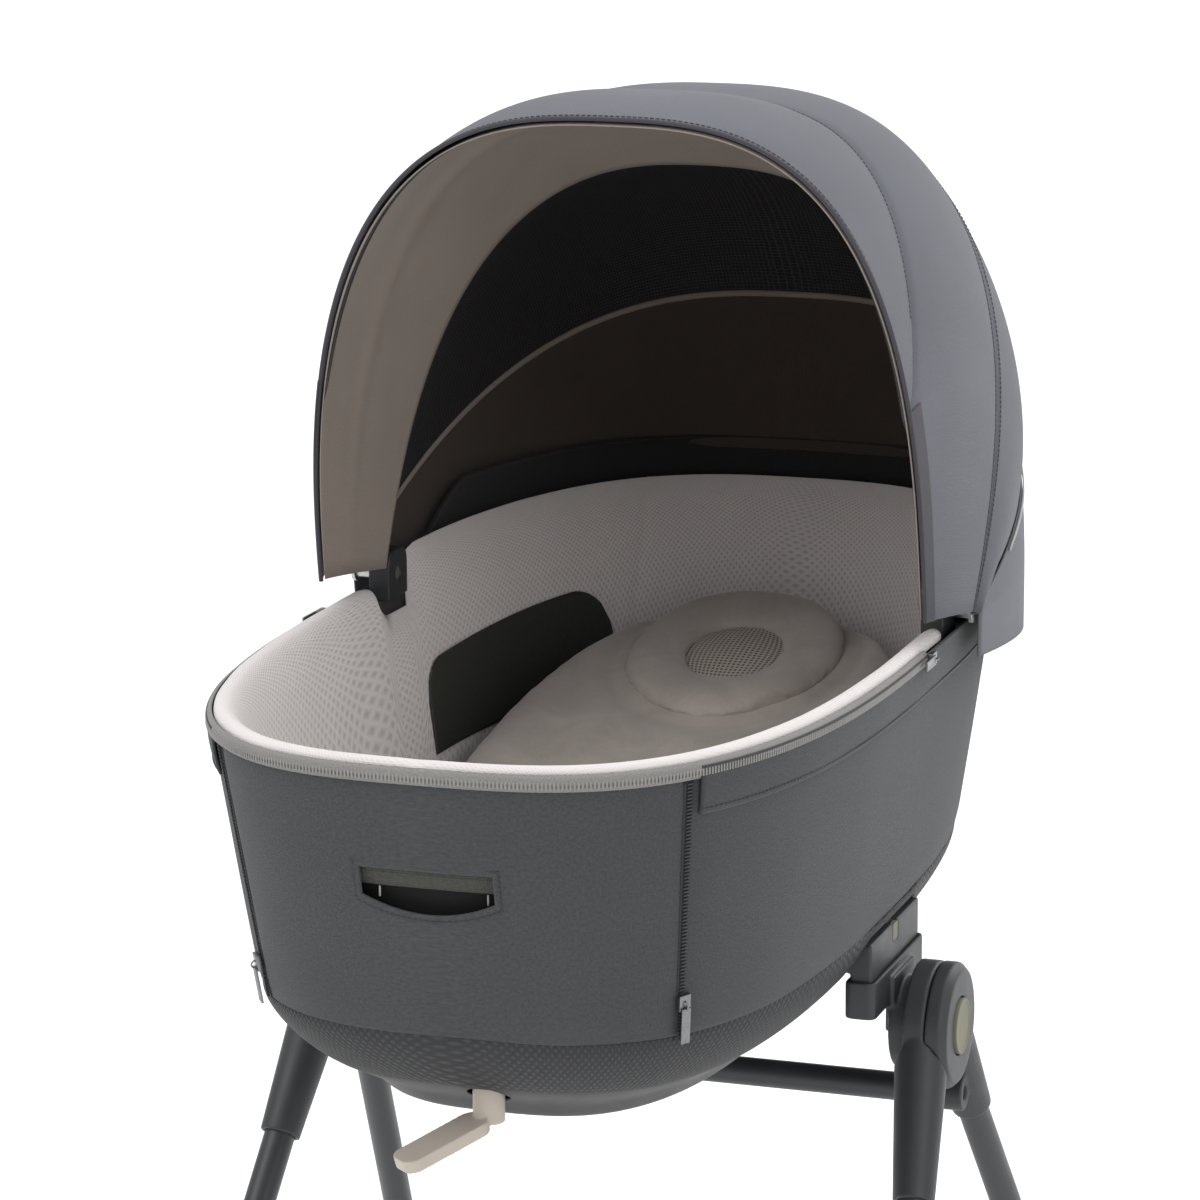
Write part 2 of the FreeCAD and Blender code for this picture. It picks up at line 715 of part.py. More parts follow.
def make_lug(hull):
    """Block on the hull's flank whose lower tongue drops into the stand's socket."""
    half = size("lug_length") / 2
    top = rim - size("lug_top_depth")
    shoulder = rim - size("lug_shoulder_depth")
    bottom = rim - size("lug_bottom_depth")
    upper = block(half_width / 2, lug_face, hub_y - half, hub_y + half, shoulder, top)
    tongue = block(lug_face - size("lug_tongue"), lug_face, hub_y - half, hub_y + half,
                   bottom, shoulder)
    tongue = tongue.makeFillet(4, [edge for edge in tongue.Edges
                                   if abs(edge.CenterOfMass.z - bottom) < 0.1])
    reach = size("latch_thickness") + size("latch_travel") + 0.5
    notch = block(lug_face - reach, lug_face + 1,
                  hub_y - size("latch_width") / 2 - 0.5, hub_y + size("latch_width") / 2 + 0.5,
                  top - size("latch_height") - 1, top + 1)
    blank = upper.fuse(tongue).removeSplitter().cut(notch)
    mirrored = blank.mirror(Vector(), Vector(1, 0, 0))
    keep("lug_right", solid_feature("lug_form", blank.cut(hull)))
    keep("lug_left", solid_feature("lug_left_form", mirrored.cut(hull)))
    latch = plate_body("latch", "Sizes.latch_width", "Sizes.latch_height",
                       "Sizes.latch_thickness", 2)
    latch.Placement = Placement(
        Vector(lug_face - size("latch_thickness"), hub_y, top - size("latch_height") / 2 - 0.5),
        Rotation(Vector(0, 1, 0), Vector(0, 0, 1), Vector(1, 0, 0), "XYZ"))
    keep_pair("latch_tab", latch)


# ---------------------------------------------------------------- tub: rim, covers, zips

def make_rim_frame():
    """Closed oval tube that carries the rim."""
    inset = cloth + 2
    top = size("rim_tube_top")
    ring = tub_wall(top, top + size("rim_tube_width"), inset, inset + size("rim_tube_width"))
    keep("rim_frame", solid_feature("rim_frame_form", ring))


def make_covers():
    """Outer fabric: foot panel between the two foot zips, and the cover round the rest."""
    wall = tub_wall(size("rim_tape_depth"), size("wall_depth"), 0, cloth)
    half_tape = size("zip_tape_width") / 2
    inside = foot_wedge(-half_tape)
    outside = foot_wedge(half_tape)
    slot_low = rim - size("slot_top_depth") - size("slot_opening")
    slot = block(-size("slot_width") / 2, size("slot_width") / 2, -FAR, foot_y + 60,
                 slot_low, slot_low + size("slot_opening"))
    keep("foot_panel", solid_feature("foot_panel_form", wall.common(inside).cut(slot)))
    keep("side_cover", solid_feature("side_cover_form", wall.cut(outside)))
    tape = tub_wall(size("rim_tape_depth"), size("wall_depth"), 0.3, 2.2)
    keep("foot_zip_tapes", solid_feature("foot_zip_form", tape.common(outside).cut(inside)))
    strap_top = size("slot_top_depth") - 3
    strap = tub_wall(strap_top, strap_top + size("strap_overlap"), cloth + 0.5, cloth + 3)
    half_strap = size("slot_width") / 2 + 18
    window = block(-half_strap, half_strap, -FAR, foot_y + 80, 0, rim)
    keep("carry_handle", solid_feature("carry_handle_form", strap.common(window)))


def make_textured_band():
    """Woven band round the foot of the fabric, cut away over the two lugs."""
    top = size("wall_depth")
    depths = [top + share * size("band_depth") / 4 for share in range(5)]
    inner_depths = [top - 1] + depths[1:-1] + [depths[-1] + 1]
    band = tub_solid(depths, 0, False).cut(tub_solid(inner_depths, cloth, False))
    half = size("lug_length") / 2 + 7
    over_lug = block(half_width / 2, FAR, hub_y - half, hub_y + half, 0,
                     rim - size("lug_top_depth") + 11)
    other_lug = over_lug.mirror(Vector(), Vector(1, 0, 0))
    keep("textured_band", solid_feature("textured_band_form", band.cut(over_lug).cut(other_lug)))


def make_valance():
    """Overlapping strip below the rim, from one foot zip round the head to the other."""
    strip = tub_wall(size("rim_tape_depth") + 2, size("valance_depth"), -2, -0.4)
    keep("side_valance", solid_feature("side_valance_form", strip.cut(foot_wedge(6))))


def make_liner():
    """Knitted inner wall, notched where the hood's pivots stand."""
    bottom = size("mattress_top_depth") + size("mattress_thickness") + size("board_thickness")
    wall = tub_wall(-size("liner_rise"), bottom, size("liner_inset"), liner_inner)
    half = size("pivot_block_length") / 2 + 4
    notch = block(-FAR, FAR, pivot_y - half, pivot_y + half, rim - 14, rim + 50)
    keep("liner", solid_feature("liner_form", wall.cut(notch)))


def make_rim_zip():
    """Zip tape round the foot end of the rim, up to its two sliders."""
    tape = tub_wall(0, size("rim_tape_depth") - 0.5, -0.8, 2)
    front = block(-FAR, FAR, -FAR, hub_y - 8, 0, 2 * rim)
    keep("rim_zip_tape", solid_feature("rim_zip_form", tape.common(front)))


def zip_slider(name):
    """Zip slider with its pull tab; Z points away from the fabric and -Y along the tab."""
    slide = plate_body(name + "_slide", "Sizes.zip_slider_width", "Sizes.zip_slider_length",
                       "Sizes.zip_slider_thickness", 2.5)
    tab = plate_body(name + "_tab", "Sizes.puller_width", "Sizes.puller_length", "2", 2.5)
    tab.Placement.Base = Vector(0, -(size("zip_slider_length") + size("puller_length")) / 2 + 5,
                                size("zip_slider_thickness") - 1)
    return boolean("Fuse", name + "_whole", slide, tab)


def wall_normal(x, y, side, foot, power):
    """Outward direction, in plan, of the tub's foot outline at a point."""
    across = math.copysign((abs(x) / side) ** (power - 1) / side, x)
    reach = hub_y - foot
    along = -(abs(hub_y - y) / reach) ** (power - 1) / reach
    return Vector(across, along, 0).normalize()


def foot_zip_point(depth):
    """A point of the right-hand foot zip, on the outer face of the fabric."""
    side, foot, head, power = tub_edges(depth, 0)
    x = side * size("zip_share")
    y = hub_y - (hub_y - foot) * (1 - size("zip_share") ** power) ** (1 / power)
    return Vector(x, y, rim - depth)


def make_foot_zip_sliders():
    """Slider of each foot zip, at the bottom of its run."""
    depth = size("wall_depth") - 24
    low = foot_zip_point(depth)
    up = (foot_zip_point(depth - 100) - low).normalize()
    side, foot, head, power = tub_edges(depth, 0)
    out = wall_normal(low.x, low.y, side, foot, power)
    slider = zip_slider("foot_zip_slider")
    across = up.cross(out)
    turn = Rotation(across, up, out, "ZYX")
    slider.Placement = Placement(low + out * 1.6, turn)
    keep_pair("foot_zip_slider", slider)


def make_rim_zip_sliders():
    """Slider at each end of the rim zip, beside the hood's front corners."""
    slider = zip_slider("rim_zip_slider")
    turn = Rotation(Vector(0, 0, -1), Vector(0, 1, 0), Vector(1, 0, 0), "ZYX")
    base = Vector(half_width + size("rim_slider_stand"), hub_y - size("rim_slider_back"),
                  rim - size("rim_tape_depth") / 2)
    slider.Placement = Placement(base, turn)
    keep_pair("rim_zip_slider", slider)


# ---------------------------------------------------------------- tub: bed and recline works

def bed_slab(top_depth, bottom_depth, inset, y_low, y_high):
    """Slab that follows the tub's inside between two cuts across it."""
    deepest = size("mattress_top_depth") + size("mattress_thickness")
    outline = Part.Face(tub_outline(deepest, inset))
    outline.translate(Vector(0, 0, deepest - bottom_depth))
    slab = outline.extrude(Vector(0, 0, bottom_depth - top_depth))
    return slab.common(block(-FAR, FAR, y_low, y_high, 0, 2 * rim))


def reclined(shape):
    """Turns a head-end piece up to the recline that the bed rests at."""
    return shape.rotate(Vector(0, hinge_y, hinge_z), Vector(1, 0, 0), size("backrest_angle"))


def knuckles(spans):
    """Round eyes about the hinge rod, between pairs of x."""
    eyes = []
    for low, high in spans:
        eyes.append(Part.makeCylinder(size("hinge_knuckle_radius"), high - low,
                                      Vector(low, hinge_y, hinge_z), Vector(1, 0, 0)))
    return eyes


def make_bed():
    """Boards, hinge rod, the mattress in its two halves, and the ring pillow."""
    top = size("mattress_top_depth")
    board = top + size("mattress_thickness")
    inset = liner_inner + size("mattress_gap")
    gap = size("hinge_gap")
    rod_reach = tub_edges(board, inset)[0] - 4
    rod_hole = Part.makeCylinder(size("hinge_rod_radius"), 2 * rod_reach + 20,
                                 Vector(-rod_reach - 10, hinge_y, hinge_z), Vector(1, 0, 0))
    loose_hole = Part.makeCylinder(size("hinge_rod_radius") + size("running_gap"),
                                   2 * rod_reach + 20,
                                   Vector(-rod_reach - 10, hinge_y, hinge_z), Vector(1, 0, 0))
    outer_eye = rod_reach - 2
    fixed_eyes = knuckles([(-outer_eye, 20 - outer_eye), (-20, 20), (outer_eye - 20, outer_eye)])
    loose_eyes = knuckles([(-90, -50), (50, 90)])
    depth = board + size("board_thickness")
    flat = bed_slab(board, depth, inset, -FAR, hinge_y - gap)
    flat = flat.fuse([bridge(low, high, -1) for low, high in
                      [(-outer_eye, 20 - outer_eye), (-20, 20), (outer_eye - 20, outer_eye)]])
    keep("base_board", solid_feature("base_board_form", flat.fuse(fixed_eyes).cut(rod_hole)))
    tilted = bed_slab(board, depth, inset, hinge_y + gap, FAR)
    tilted = tilted.fuse([bridge(low, high, 1) for low, high in [(-90, -50), (50, 90)]])
    tilted = tilted.fuse(loose_eyes).cut(loose_hole)
    keep("backrest_board", solid_feature("backrest_board_form", reclined(tilted)))
    rod = primitive("Cylinder", "hinge_rod_form", along_x(-rod_reach, hinge_y, hinge_z),
                    Radius="Sizes.hinge_rod_radius", Height=2 * rod_reach)
    keep("hinge_rod", rod)
    foot_half = bed_slab(top, board, inset, -FAR, hinge_y - gap)
    keep("mattress_foot", solid_feature("mattress_foot_form", foot_half))
    head_half = bed_slab(top, board, inset, hinge_y + gap, FAR)
    keep("mattress_head", solid_feature("mattress_head_form", reclined(head_half)))


def bridge(low, high, end):
    """Plate between a board's edge and its hinge eye."""
    gap = size("hinge_gap")
    thickness = size("board_thickness")
    inner, outer = sorted((hinge_y, hinge_y + end * (gap + 1)))
    return block(low, high, inner, outer, hinge_z - thickness / 2, hinge_z + thickness / 2)


def make_pillow():
    """Flat ring pillow on the head half of the mattress."""
    centre = Vector(0, hinge_y + size("pillow_from_hinge"), rim - size("mattress_top_depth"))
    rings = []
    for length, width in (("pillow_length", "pillow_width"),
                          ("pillow_hole_length", "pillow_hole_width")):
        ellipse = Part.Ellipse(centre + Vector(0, size(length) / 2, 0),
                               centre + Vector(-size(width) / 2, 0, 0), centre)
        rings.append(Part.Face(Part.Wire([ellipse.toShape()])))
    ring = rings[0].cut(rings[1]).extrude(Vector(0, 0, size("pillow_thickness")))
    keep("ring_pillow", solid_feature("ring_pillow_form", reclined(ring)))


def make_recline_works():
    """Lever under the foot end, its pin, and the rod that runs to the backrest."""
    axis = lever_axis()
    top = lever_top()
    boss = primitive("Cylinder", "lever_boss",
                     Placement(Vector(axis.x, axis.y, top - size("lever_boss_length")), Rotation()),
                     Radius="Sizes.lever_boss_radius", Height="Sizes.lever_boss_length")
    paddle = plate_body("lever_paddle", "Sizes.lever_length", "Sizes.lever_width",
                        "Sizes.lever_thickness", 9)
    yaw = Rotation(Vector(0, 0, 1), -90 - size("lever_yaw"))
    pitch = Rotation(Vector(0, 1, 0), size("lever_pitch"))
    turn = yaw.multiply(pitch)
    reach = turn.multVec(Vector(size("lever_length") / 2 + 4, 0, -2))
    paddle.Placement = Placement(
        Vector(axis.x, axis.y, top - size("lever_boss_length")) + reach, turn)
    pin_bore = primitive("Cylinder", "lever_pin_bore",
                         Placement(Vector(axis.x, axis.y, top - 60), Rotation()),
                         Radius="Sizes.lever_pin_radius + Sizes.running_gap", Height=80)
    body = boolean("Fuse", "lever_body", boss, paddle)
    keep("recline_lever", boolean("Cut", "lever_done", body, pin_bore))
    pin = disc_body("lever_pin", "Sizes.lever_pin_radius", "Sizes.lever_boss_length")
    pin.Placement.Base = Vector(axis.x, axis.y, top + 8 - size("lever_boss_length"))
    keep("lever_pin", pin)
    rod_z = hinge_z - size("board_thickness") / 2 - size("rod_drop")
    start = axis.y + size("rod_from_lever")
    end = hinge_y + size("rod_past_hinge")
    rod = primitive("Cylinder", "recline_rod_bar",
                    Placement(Vector(axis.x, start, rod_z), Rotation(Vector(1, 0, 0), -90)),
                    Radius="Sizes.rod_radius", Height=end - start)
    shoe = doc.addObject("Part::Box", "recline_rod_shoe")
    shoe.setExpression("Length", "Sizes.shoe_width")
    shoe.setExpression("Width", "Sizes.shoe_length")
    shoe.setExpression("Height", "Sizes.shoe_thickness")
    shoe.Placement.Base = Vector(axis.x - size("shoe_width") / 2, end - 4,
                                 rod_z - size("rod_radius") - 1)
    keep("recline_rod", boolean("Fuse", "recline_rod_whole", rod, shoe))


# ---------------------------------------------------------------- hood

def tilted(x, radius, tilt):
    """Point at a height over the pivot axis, after the arch has leant back by a tilt."""
    angle = math.radians(tilt)
    return Vector(x, pivot_y + radius * math.sin(angle), pivot_z + radius * math.cos(angle))


def arch_curve(half, radius, tilt, clear):
    """Arch over the tub in a plane through the pivot axis, open at its two feet."""
    start = math.asin((clear / radius) ** (HOOD_POWER / 2))
    points = []
    steps = 28
    for step in range(steps + 1):
        angle = start + (math.pi - 2 * start) * step / steps
        across, up = superellipse(angle, HOOD_POWER)
        points.append(tilted(half * across, radius * up, tilt))
    curve = Part.BSplineCurve()
    curve.interpolate(points)
    return curve.toShape()


def arch_wire(half, radius, thickness, tilt, clear):
    """Closed outline of an arch of one thickness."""
    outer = arch_curve(half, radius, tilt, clear)
    inner = arch_curve(half - thickness, radius - thickness, tilt, clear)
    ends = [(outer.Vertexes[n].Point, inner.Vertexes[n].Point) for n in (0, -1)]
    joins = [Part.LineSegment(*pair).toShape() for pair in ends]
    return Part.Wire(Part.__sortEdges__([outer, joins[0], inner, joins[1]]))


def hood_shell(half, radii, tilts):
    """Fabric shell through arches at several tilts, each with its own radius."""
    clear = size("pivot_eye_radius") + 8
    wires = [arch_wire(half, radius, size("hood_cloth"), tilt, clear)
             for radius, tilt in zip(radii, tilts)]
    return Part.makeLoft(wires, True, False)


def spread(first, last, count):
    """Evenly spaced numbers from the first to the last."""
    return [first + (last - first) * step / (count - 1) for step in range(count)]


def make_hood_shells():
    """Front, middle and rear fabric, one inside the other so that they fold together."""
    front_tilts = spread(size("hood_front_from"), size("hood_front_to"), 6)
    keep("hood_front", solid_feature(
        "hood_front_form", hood_shell(hood_front_half, [hood_front_radius] * 6, front_tilts)))
    mid_tilts = spread(size("hood_front_to"), size("hood_mid_to"), 5)
    mid_radii = spread(hood_mid_start, hood_mid_radius, 5)
    keep("hood_middle", solid_feature(
        "hood_middle_form", hood_shell(hood_mid_half, mid_radii, mid_tilts)))
    rear_tilts = spread(size("hood_mid_to") - 1, size("hood_rear_to"), 9)
    keep("hood_rear", solid_feature(
        "hood_rear_form", hood_shell(hood_rear_half, [hood_rear_radius] * 9, rear_tilts)))


def make_bow(name, half, radius, tilt):
    """Flat bow that spreads the fabric, with an eye at each end for its pivot pin."""
    thickness = size("bow_thickness")
    wire = arch_wire(half, radius, thickness, tilt, 4)
    normal = tilted(0, 1, tilt + 90) - tilted(0, 0, tilt)
    face = Part.Face(wire)
    bow = face.extrude(normal * size("bow_width"))
    bow.translate(normal * (-size("bow_width") / 2))
    for end in (-1, 1):
        start = min(end * half, end * (half - thickness))
        eye = Part.makeCylinder(size("pivot_eye_radius"), thickness,
                                Vector(start, pivot_y, pivot_z), Vector(1, 0, 0))
        bow = bow.fuse(eye)
    hole = Part.makeCylinder(size("pivot_pin_radius") + size("running_gap"), 2 * FAR,
                             Vector(-FAR, pivot_y, pivot_z), Vector(1, 0, 0))
    keep(name, solid_feature(name + "_form", bow.cut(hole)))


def make_bows():
    """The front bow under the front fabric, and the middle bow near the middle one's rear edge."""
    cover = size("hood_cloth") + size("bow_gap")
    make_bow("front_bow", hood_front_half - cover, hood_front_radius - cover - 0.5,
             size("hood_front_bow_at"))
    rise = (hood_mid_radius - hood_mid_start) / (size("hood_mid_to") - size("hood_front_to"))
    fall = rise * (size("hood_mid_to") - size("hood_mid_bow_at") + 1)
    make_bow("middle_bow", hood_mid_half - cover, hood_mid_radius - fall - cover - 0.8,
             size("hood_mid_bow_at"))


def make_pivots():
    """Blocks on the rim that carry the hood, and the pins through the bows' eyes."""
    frame_top = rim - size("rim_tube_top")
    inner_x = half_width - liner_inner - 2
    bow_inner_x = hood_front_half - size("hood_cloth") - size("bow_gap") - size("bow_thickness")
    outer_x = bow_inner_x - 0.5
    body = doc.addObject("PartDesign::Body", "pivot_block_body")
    sketch = new_sketch(body, "pivot_block_outline")
    sketch_rectangle(sketch, "Sizes.pivot_block_length", "Sizes.pivot_block_height")
    feature = body.newObject("PartDesign::Pad", "pivot_block_pad")
    feature.Profile = sketch
    feature.Length = outer_x - inner_x
    top_of_block = size("pivot_block_height") / 2
    round_edges(body, feature, 12,
                lambda edge: stands_up(edge) and edge.CenterOfMass.y > top_of_block - 1)
    body.Placement = Placement(
        Vector(inner_x, pivot_y, frame_top + size("pivot_block_height") / 2),
        Rotation(Vector(0, 1, 0), Vector(0, 0, 1), Vector(1, 0, 0), "XYZ"))
    bore = primitive("Cylinder", "pivot_block_bore", along_x(inner_x - 5, pivot_y, pivot_z),
                     Radius="Sizes.pivot_pin_radius", Height=60)
    keep_pair("pivot_block", boolean("Cut", "pivot_block_done", body, bore))
    shank = primitive("Cylinder", "hood_pin_shank", along_x(inner_x + 1, pivot_y, pivot_z),
                      Radius="Sizes.pivot_pin_radius", Height=hood_rear_half + 2 - inner_x)
    head = primitive("Cylinder", "hood_pin_head",
                     along_x(hood_rear_half + 2, pivot_y, pivot_z),
                     Radius="Sizes.pivot_pin_radius + 3", Height=2.5)
    keep_both("hood_pins", boolean("Fuse", "hood_pin", shank, head))


def make_hood_zip():
    """Zip round the back of the hood with a slider at each front end."""
    cover = size("hood_cloth")
    tilts = spread(size("hood_zip_at") - 1, size("hood_zip_at") + 1, 3)
    wires = [arch_wire(hood_rear_half + 2, hood_rear_radius + 2, 1.6, tilt, 60) for tilt in tilts]
    keep("hood_zip_tape", solid_feature("hood_zip_form", Part.makeLoft(wires, True, False)))
    reach = size("hood_zip_reach")
    height = 1 - (reach / hood_rear_radius) ** HOOD_POWER
    side = (hood_rear_half + cover) * height ** (1 / HOOD_POWER)
    slider = zip_slider("hood_zip_slider")
    back = tilted(0, 1, size("hood_zip_at")) - tilted(0, 0, 0)
    turn = Rotation(Vector(0, back.y, back.z).cross(Vector(1, 0, 0)),
                    Vector(0, back.y, back.z), Vector(1, 0, 0), "ZYX")
    slider.Placement = Placement(tilted(side + 1.5, reach, size("hood_zip_at")), turn)
    keep_pair("hood_zip_slider", slider)


# ---------------------------------------------------------------- build and write

make_leg("front_leg", -1)
make_leg("rear_leg", 1)
make_front_casing()
make_rear_casing()
make_cross_tube()
make_hub_pins()
make_buttons()
make_socket()
make_foot("front", -1)
make_foot("rear", 1)
make_floor_bar("front_floor_bar", -1)
make_floor_bar("rear_floor_bar", 1)
hull_form = make_base_shell()
make_lug(hull_form)
make_rim_frame()
make_covers()
make_textured_band()
make_valance()
make_liner()
make_rim_zip()
make_foot_zip_sliders()
make_rim_zip_sliders()
make_bed()
make_pillow()
make_recline_works()
make_hood_shells()
make_bows()
make_pivots()
make_hood_zip()
doc.recompute()

faults = [item.Name for item in doc.Objects if {"Invalid", "Error"} & set(item.State)]
for item in nodes:
    if item.Shape.isNull() or not item.Shape.isValid() or not item.Shape.Solids:
        faults.append(item.Label)
if faults:
    raise RuntimeError("not built: " + ", ".join(faults))

os.makedirs("parts", exist_ok=True)
for item in nodes:
    item.Shape.exportStep("parts/%s.step" % item.Label)
print("%d nodes written" % len(nodes))
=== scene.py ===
import json
import math

import bpy
from mathutils import Matrix, Vector, noise

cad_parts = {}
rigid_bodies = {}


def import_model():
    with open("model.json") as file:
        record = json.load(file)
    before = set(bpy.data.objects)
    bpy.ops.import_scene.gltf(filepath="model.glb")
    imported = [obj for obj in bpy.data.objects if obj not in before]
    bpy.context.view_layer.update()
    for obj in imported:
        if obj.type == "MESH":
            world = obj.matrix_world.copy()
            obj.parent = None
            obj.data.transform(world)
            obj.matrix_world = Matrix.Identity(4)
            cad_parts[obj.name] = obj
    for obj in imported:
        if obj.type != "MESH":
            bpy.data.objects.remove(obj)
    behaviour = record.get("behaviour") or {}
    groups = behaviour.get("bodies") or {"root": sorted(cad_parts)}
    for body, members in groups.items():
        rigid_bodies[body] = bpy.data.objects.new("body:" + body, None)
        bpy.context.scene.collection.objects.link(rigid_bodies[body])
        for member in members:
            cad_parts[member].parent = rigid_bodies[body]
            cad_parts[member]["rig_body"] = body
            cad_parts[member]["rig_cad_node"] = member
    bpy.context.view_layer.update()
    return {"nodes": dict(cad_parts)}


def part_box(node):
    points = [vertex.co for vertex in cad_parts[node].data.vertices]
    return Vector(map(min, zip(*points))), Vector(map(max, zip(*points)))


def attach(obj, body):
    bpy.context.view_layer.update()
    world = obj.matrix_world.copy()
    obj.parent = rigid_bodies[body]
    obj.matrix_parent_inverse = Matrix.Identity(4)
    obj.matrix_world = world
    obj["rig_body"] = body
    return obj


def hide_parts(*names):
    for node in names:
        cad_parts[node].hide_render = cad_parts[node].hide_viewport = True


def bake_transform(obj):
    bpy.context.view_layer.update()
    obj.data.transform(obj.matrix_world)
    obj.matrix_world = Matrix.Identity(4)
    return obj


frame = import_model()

# ------------------------------------------------------------------ the room
# A pale seamless floor and soft studio light, with the camera a little above the rim of the hood
# and to the right of the foot end.

camera_place = Vector((1.058, -3.232, 1.572))
camera_turn = (math.radians(77.1), math.radians(0.19), math.radians(18.3))


def deselect():
    """Leaves nothing selected, so that the next operator acts on its own object alone."""
    bpy.ops.object.select_all(action="DESELECT")


def colour(code):
    """Turns an sRGB hex code into the linear colour that a shader takes."""
    steps = [int(code[place:place + 2], 16) / 255 for place in (1, 3, 5)]
    return tuple(s / 12.92 if s <= 0.04045 else ((s + 0.055) / 1.055) ** 2.4
                 for s in steps) + (1.0,)


def add(tree, kind, links=None, **settings):
    """Adds one node: settings are its own values, links its sockets' values or sources."""
    node = tree.nodes.new("ShaderNode" + kind)
    for name, value in settings.items():
        setattr(node, name, value)
    for socket, value in (links or {}).items():
        if isinstance(value, bpy.types.NodeSocket):
            tree.links.new(value, node.inputs[socket])
        else:
            node.inputs[socket].default_value = value
    return node


def material(name):
    """A new material: its node tree and its Principled shader."""
    made = bpy.data.materials.new(name)
    made.use_nodes = True
    return made, made.node_tree, made.node_tree.nodes["Principled BSDF"]


deselect()
bpy.ops.mesh.primitive_grid_add(x_subdivisions=2, y_subdivisions=80, size=1)
floor = bpy.context.object
floor.name = "studio_floor"
for vertex in floor.data.vertices:
    along = (vertex.co.y + 0.5) * 7 - 3.5
    bend = max(0.0, along - 2.0)
    vertex.co = (vertex.co.x * 14, min(along, 2.0) + 1.2 * math.sin(min(bend, 1.5)),
                 1.2 * (1 - math.cos(min(bend, 1.5))) + max(0.0, bend - 1.5) * 3)
for face in floor.data.polygons:
    face.use_smooth = True
paper, tree, shader = material("matt_studio_paper")
paper_grain = add(tree, "TexNoise", {"Scale": 40.0, "Detail": 4.0})
paper_tone = add(tree, "MixRGB", {"Fac": paper_grain.outputs["Fac"],
                                  "Color1": colour("#f4f4f4"), "Color2": colour("#fbfbfb")})
tree.links.new(paper_tone.outputs["Color"], shader.inputs["Base Color"])
shader.inputs["Roughness"].default_value = 0.9
shader.inputs["Emission Color"].default_value = colour("#ffffff")
shader.inputs["Emission Strength"].default_value = 0.12
floor.data.materials.append(paper)

for name, place, size, power in (("key_light", (-2.4, -2.6, 3.4), 2.6, 66),
                                 ("fill_light", (3.0, -2.2, 2.2), 2.4, 34),
                                 ("top_light", (0.2, 0.4, 3.6), 2.8, 44),
                                 ("rear_light", (1.6, 2.6, 2.4), 1.6, 30)):
    bpy.ops.object.light_add(type="AREA", location=place)
    lamp = bpy.context.object
    lamp.name = name
    lamp.data.size = size
    lamp.data.energy = power
    lamp.rotation_euler = (Vector((0, 0, 0.85)) - Vector(place)).to_track_quat("-Z", "Y").to_euler()
world = bpy.data.worlds.new("studio_air")
world.use_nodes = True
world.node_tree.nodes["Background"].inputs["Color"].default_value = (1, 1, 1, 1)
world.node_tree.nodes["Background"].inputs["Strength"].default_value = 0.72
bpy.context.scene.world = world
bpy.context.scene.view_settings.view_transform = "Standard"

bpy.ops.object.camera_add(location=camera_place, rotation=camera_turn)
camera = bpy.context.object
camera.name = "studio_camera"
camera.data.sensor_width = 36
camera.data.lens = 143.6
camera.data.shift_x = -0.0175
camera.data.shift_y = 0.0217
bpy.context.scene.camera = camera

# ------------------------------------------------------------------ legs, floor bars, cross tube
# Round steel tubes, powder coated satin black. The legs run from the hub casings to the corner
# feet, and one more tube crosses under the tub.


def place_of(tree, scale=1.0):
    """The surface's own place on the object, times a scale."""
    where = add(tree, "TexCoord")
    spread = add(tree, "Mapping", {"Vector": where.outputs["Object"]})
    spread.inputs["Scale"].default_value = (scale, scale, scale)
    return spread.outputs["Vector"]


def roughen(tree, shader, height, strength, distance):
    """Raises the surface by a height pattern."""
    raised = add(tree, "Bump", {"Strength": strength, "Distance": distance, "Height": height})
    tree.links.new(raised.outputs["Normal"], shader.inputs["Normal"])


def moulded(name, dark, light, low_gloss, high_gloss, grain_mm, depth_mm):
    """A coated or moulded surface: fine grain of one size, with handling marks in its gloss."""
    made, tree, shader = material(name)
    place = place_of(tree)
    grain = add(tree, "TexNoise", {"Vector": place, "Scale": 1000 / grain_mm, "Detail": 3.0})
    marks = add(tree, "TexNoise", {"Vector": place, "Scale": 26.0, "Detail": 6.0,
                                   "Roughness": 0.65})
    tone = add(tree, "MixRGB", {"Fac": marks.outputs["Fac"], "Color1": colour(dark),
                                "Color2": colour(light)})
    gloss = add(tree, "MapRange", {"Value": marks.outputs["Fac"], "From Min": 0.3,
                                   "From Max": 0.7, "To Min": low_gloss, "To Max": high_gloss})
    tree.links.new(tone.outputs["Color"], shader.inputs["Base Color"])
    tree.links.new(gloss.outputs["Result"], shader.inputs["Roughness"])
    roughen(tree, shader, grain.outputs["Fac"], 0.35, depth_mm / 1000)
    return made


# Powder coat: thick paint baked on steel, with a faint orange peel about 1.5 mm across.
powder_coat = moulded("satin_powder_coat_on_steel", "#26282a", "#303335", 0.36, 0.46, 1.5, 0.12)


def dress(names, finish):
    """Gives whole CAD parts their finish."""
    for name in names:
        part = frame["nodes"][name]
        part.data.materials.clear()
        part.data.materials.append(finish)
        for face in part.data.polygons:
            face.material_index = 0


dress(["front_leg_left", "front_leg_right", "rear_leg_left", "rear_leg_right",
       "front_floor_bar", "rear_floor_bar", "cross_tube"], powder_coat)

# ------------------------------------------------------------------ hub casings and sockets
# Glass-filled nylon mouldings with softened edges: the two drums of each folding hub, the cup
# that takes the tub, the hood's pivot blocks and the rubber corner feet.

nylon = moulded("spark_eroded_glass_filled_nylon", "#242628", "#2e3133", 0.42, 0.54, 0.9, 0.10)
foot_rubber = moulded("moulded_rubber", "#1d1e1f", "#27282a", 0.72, 0.84, 1.2, 0.15)


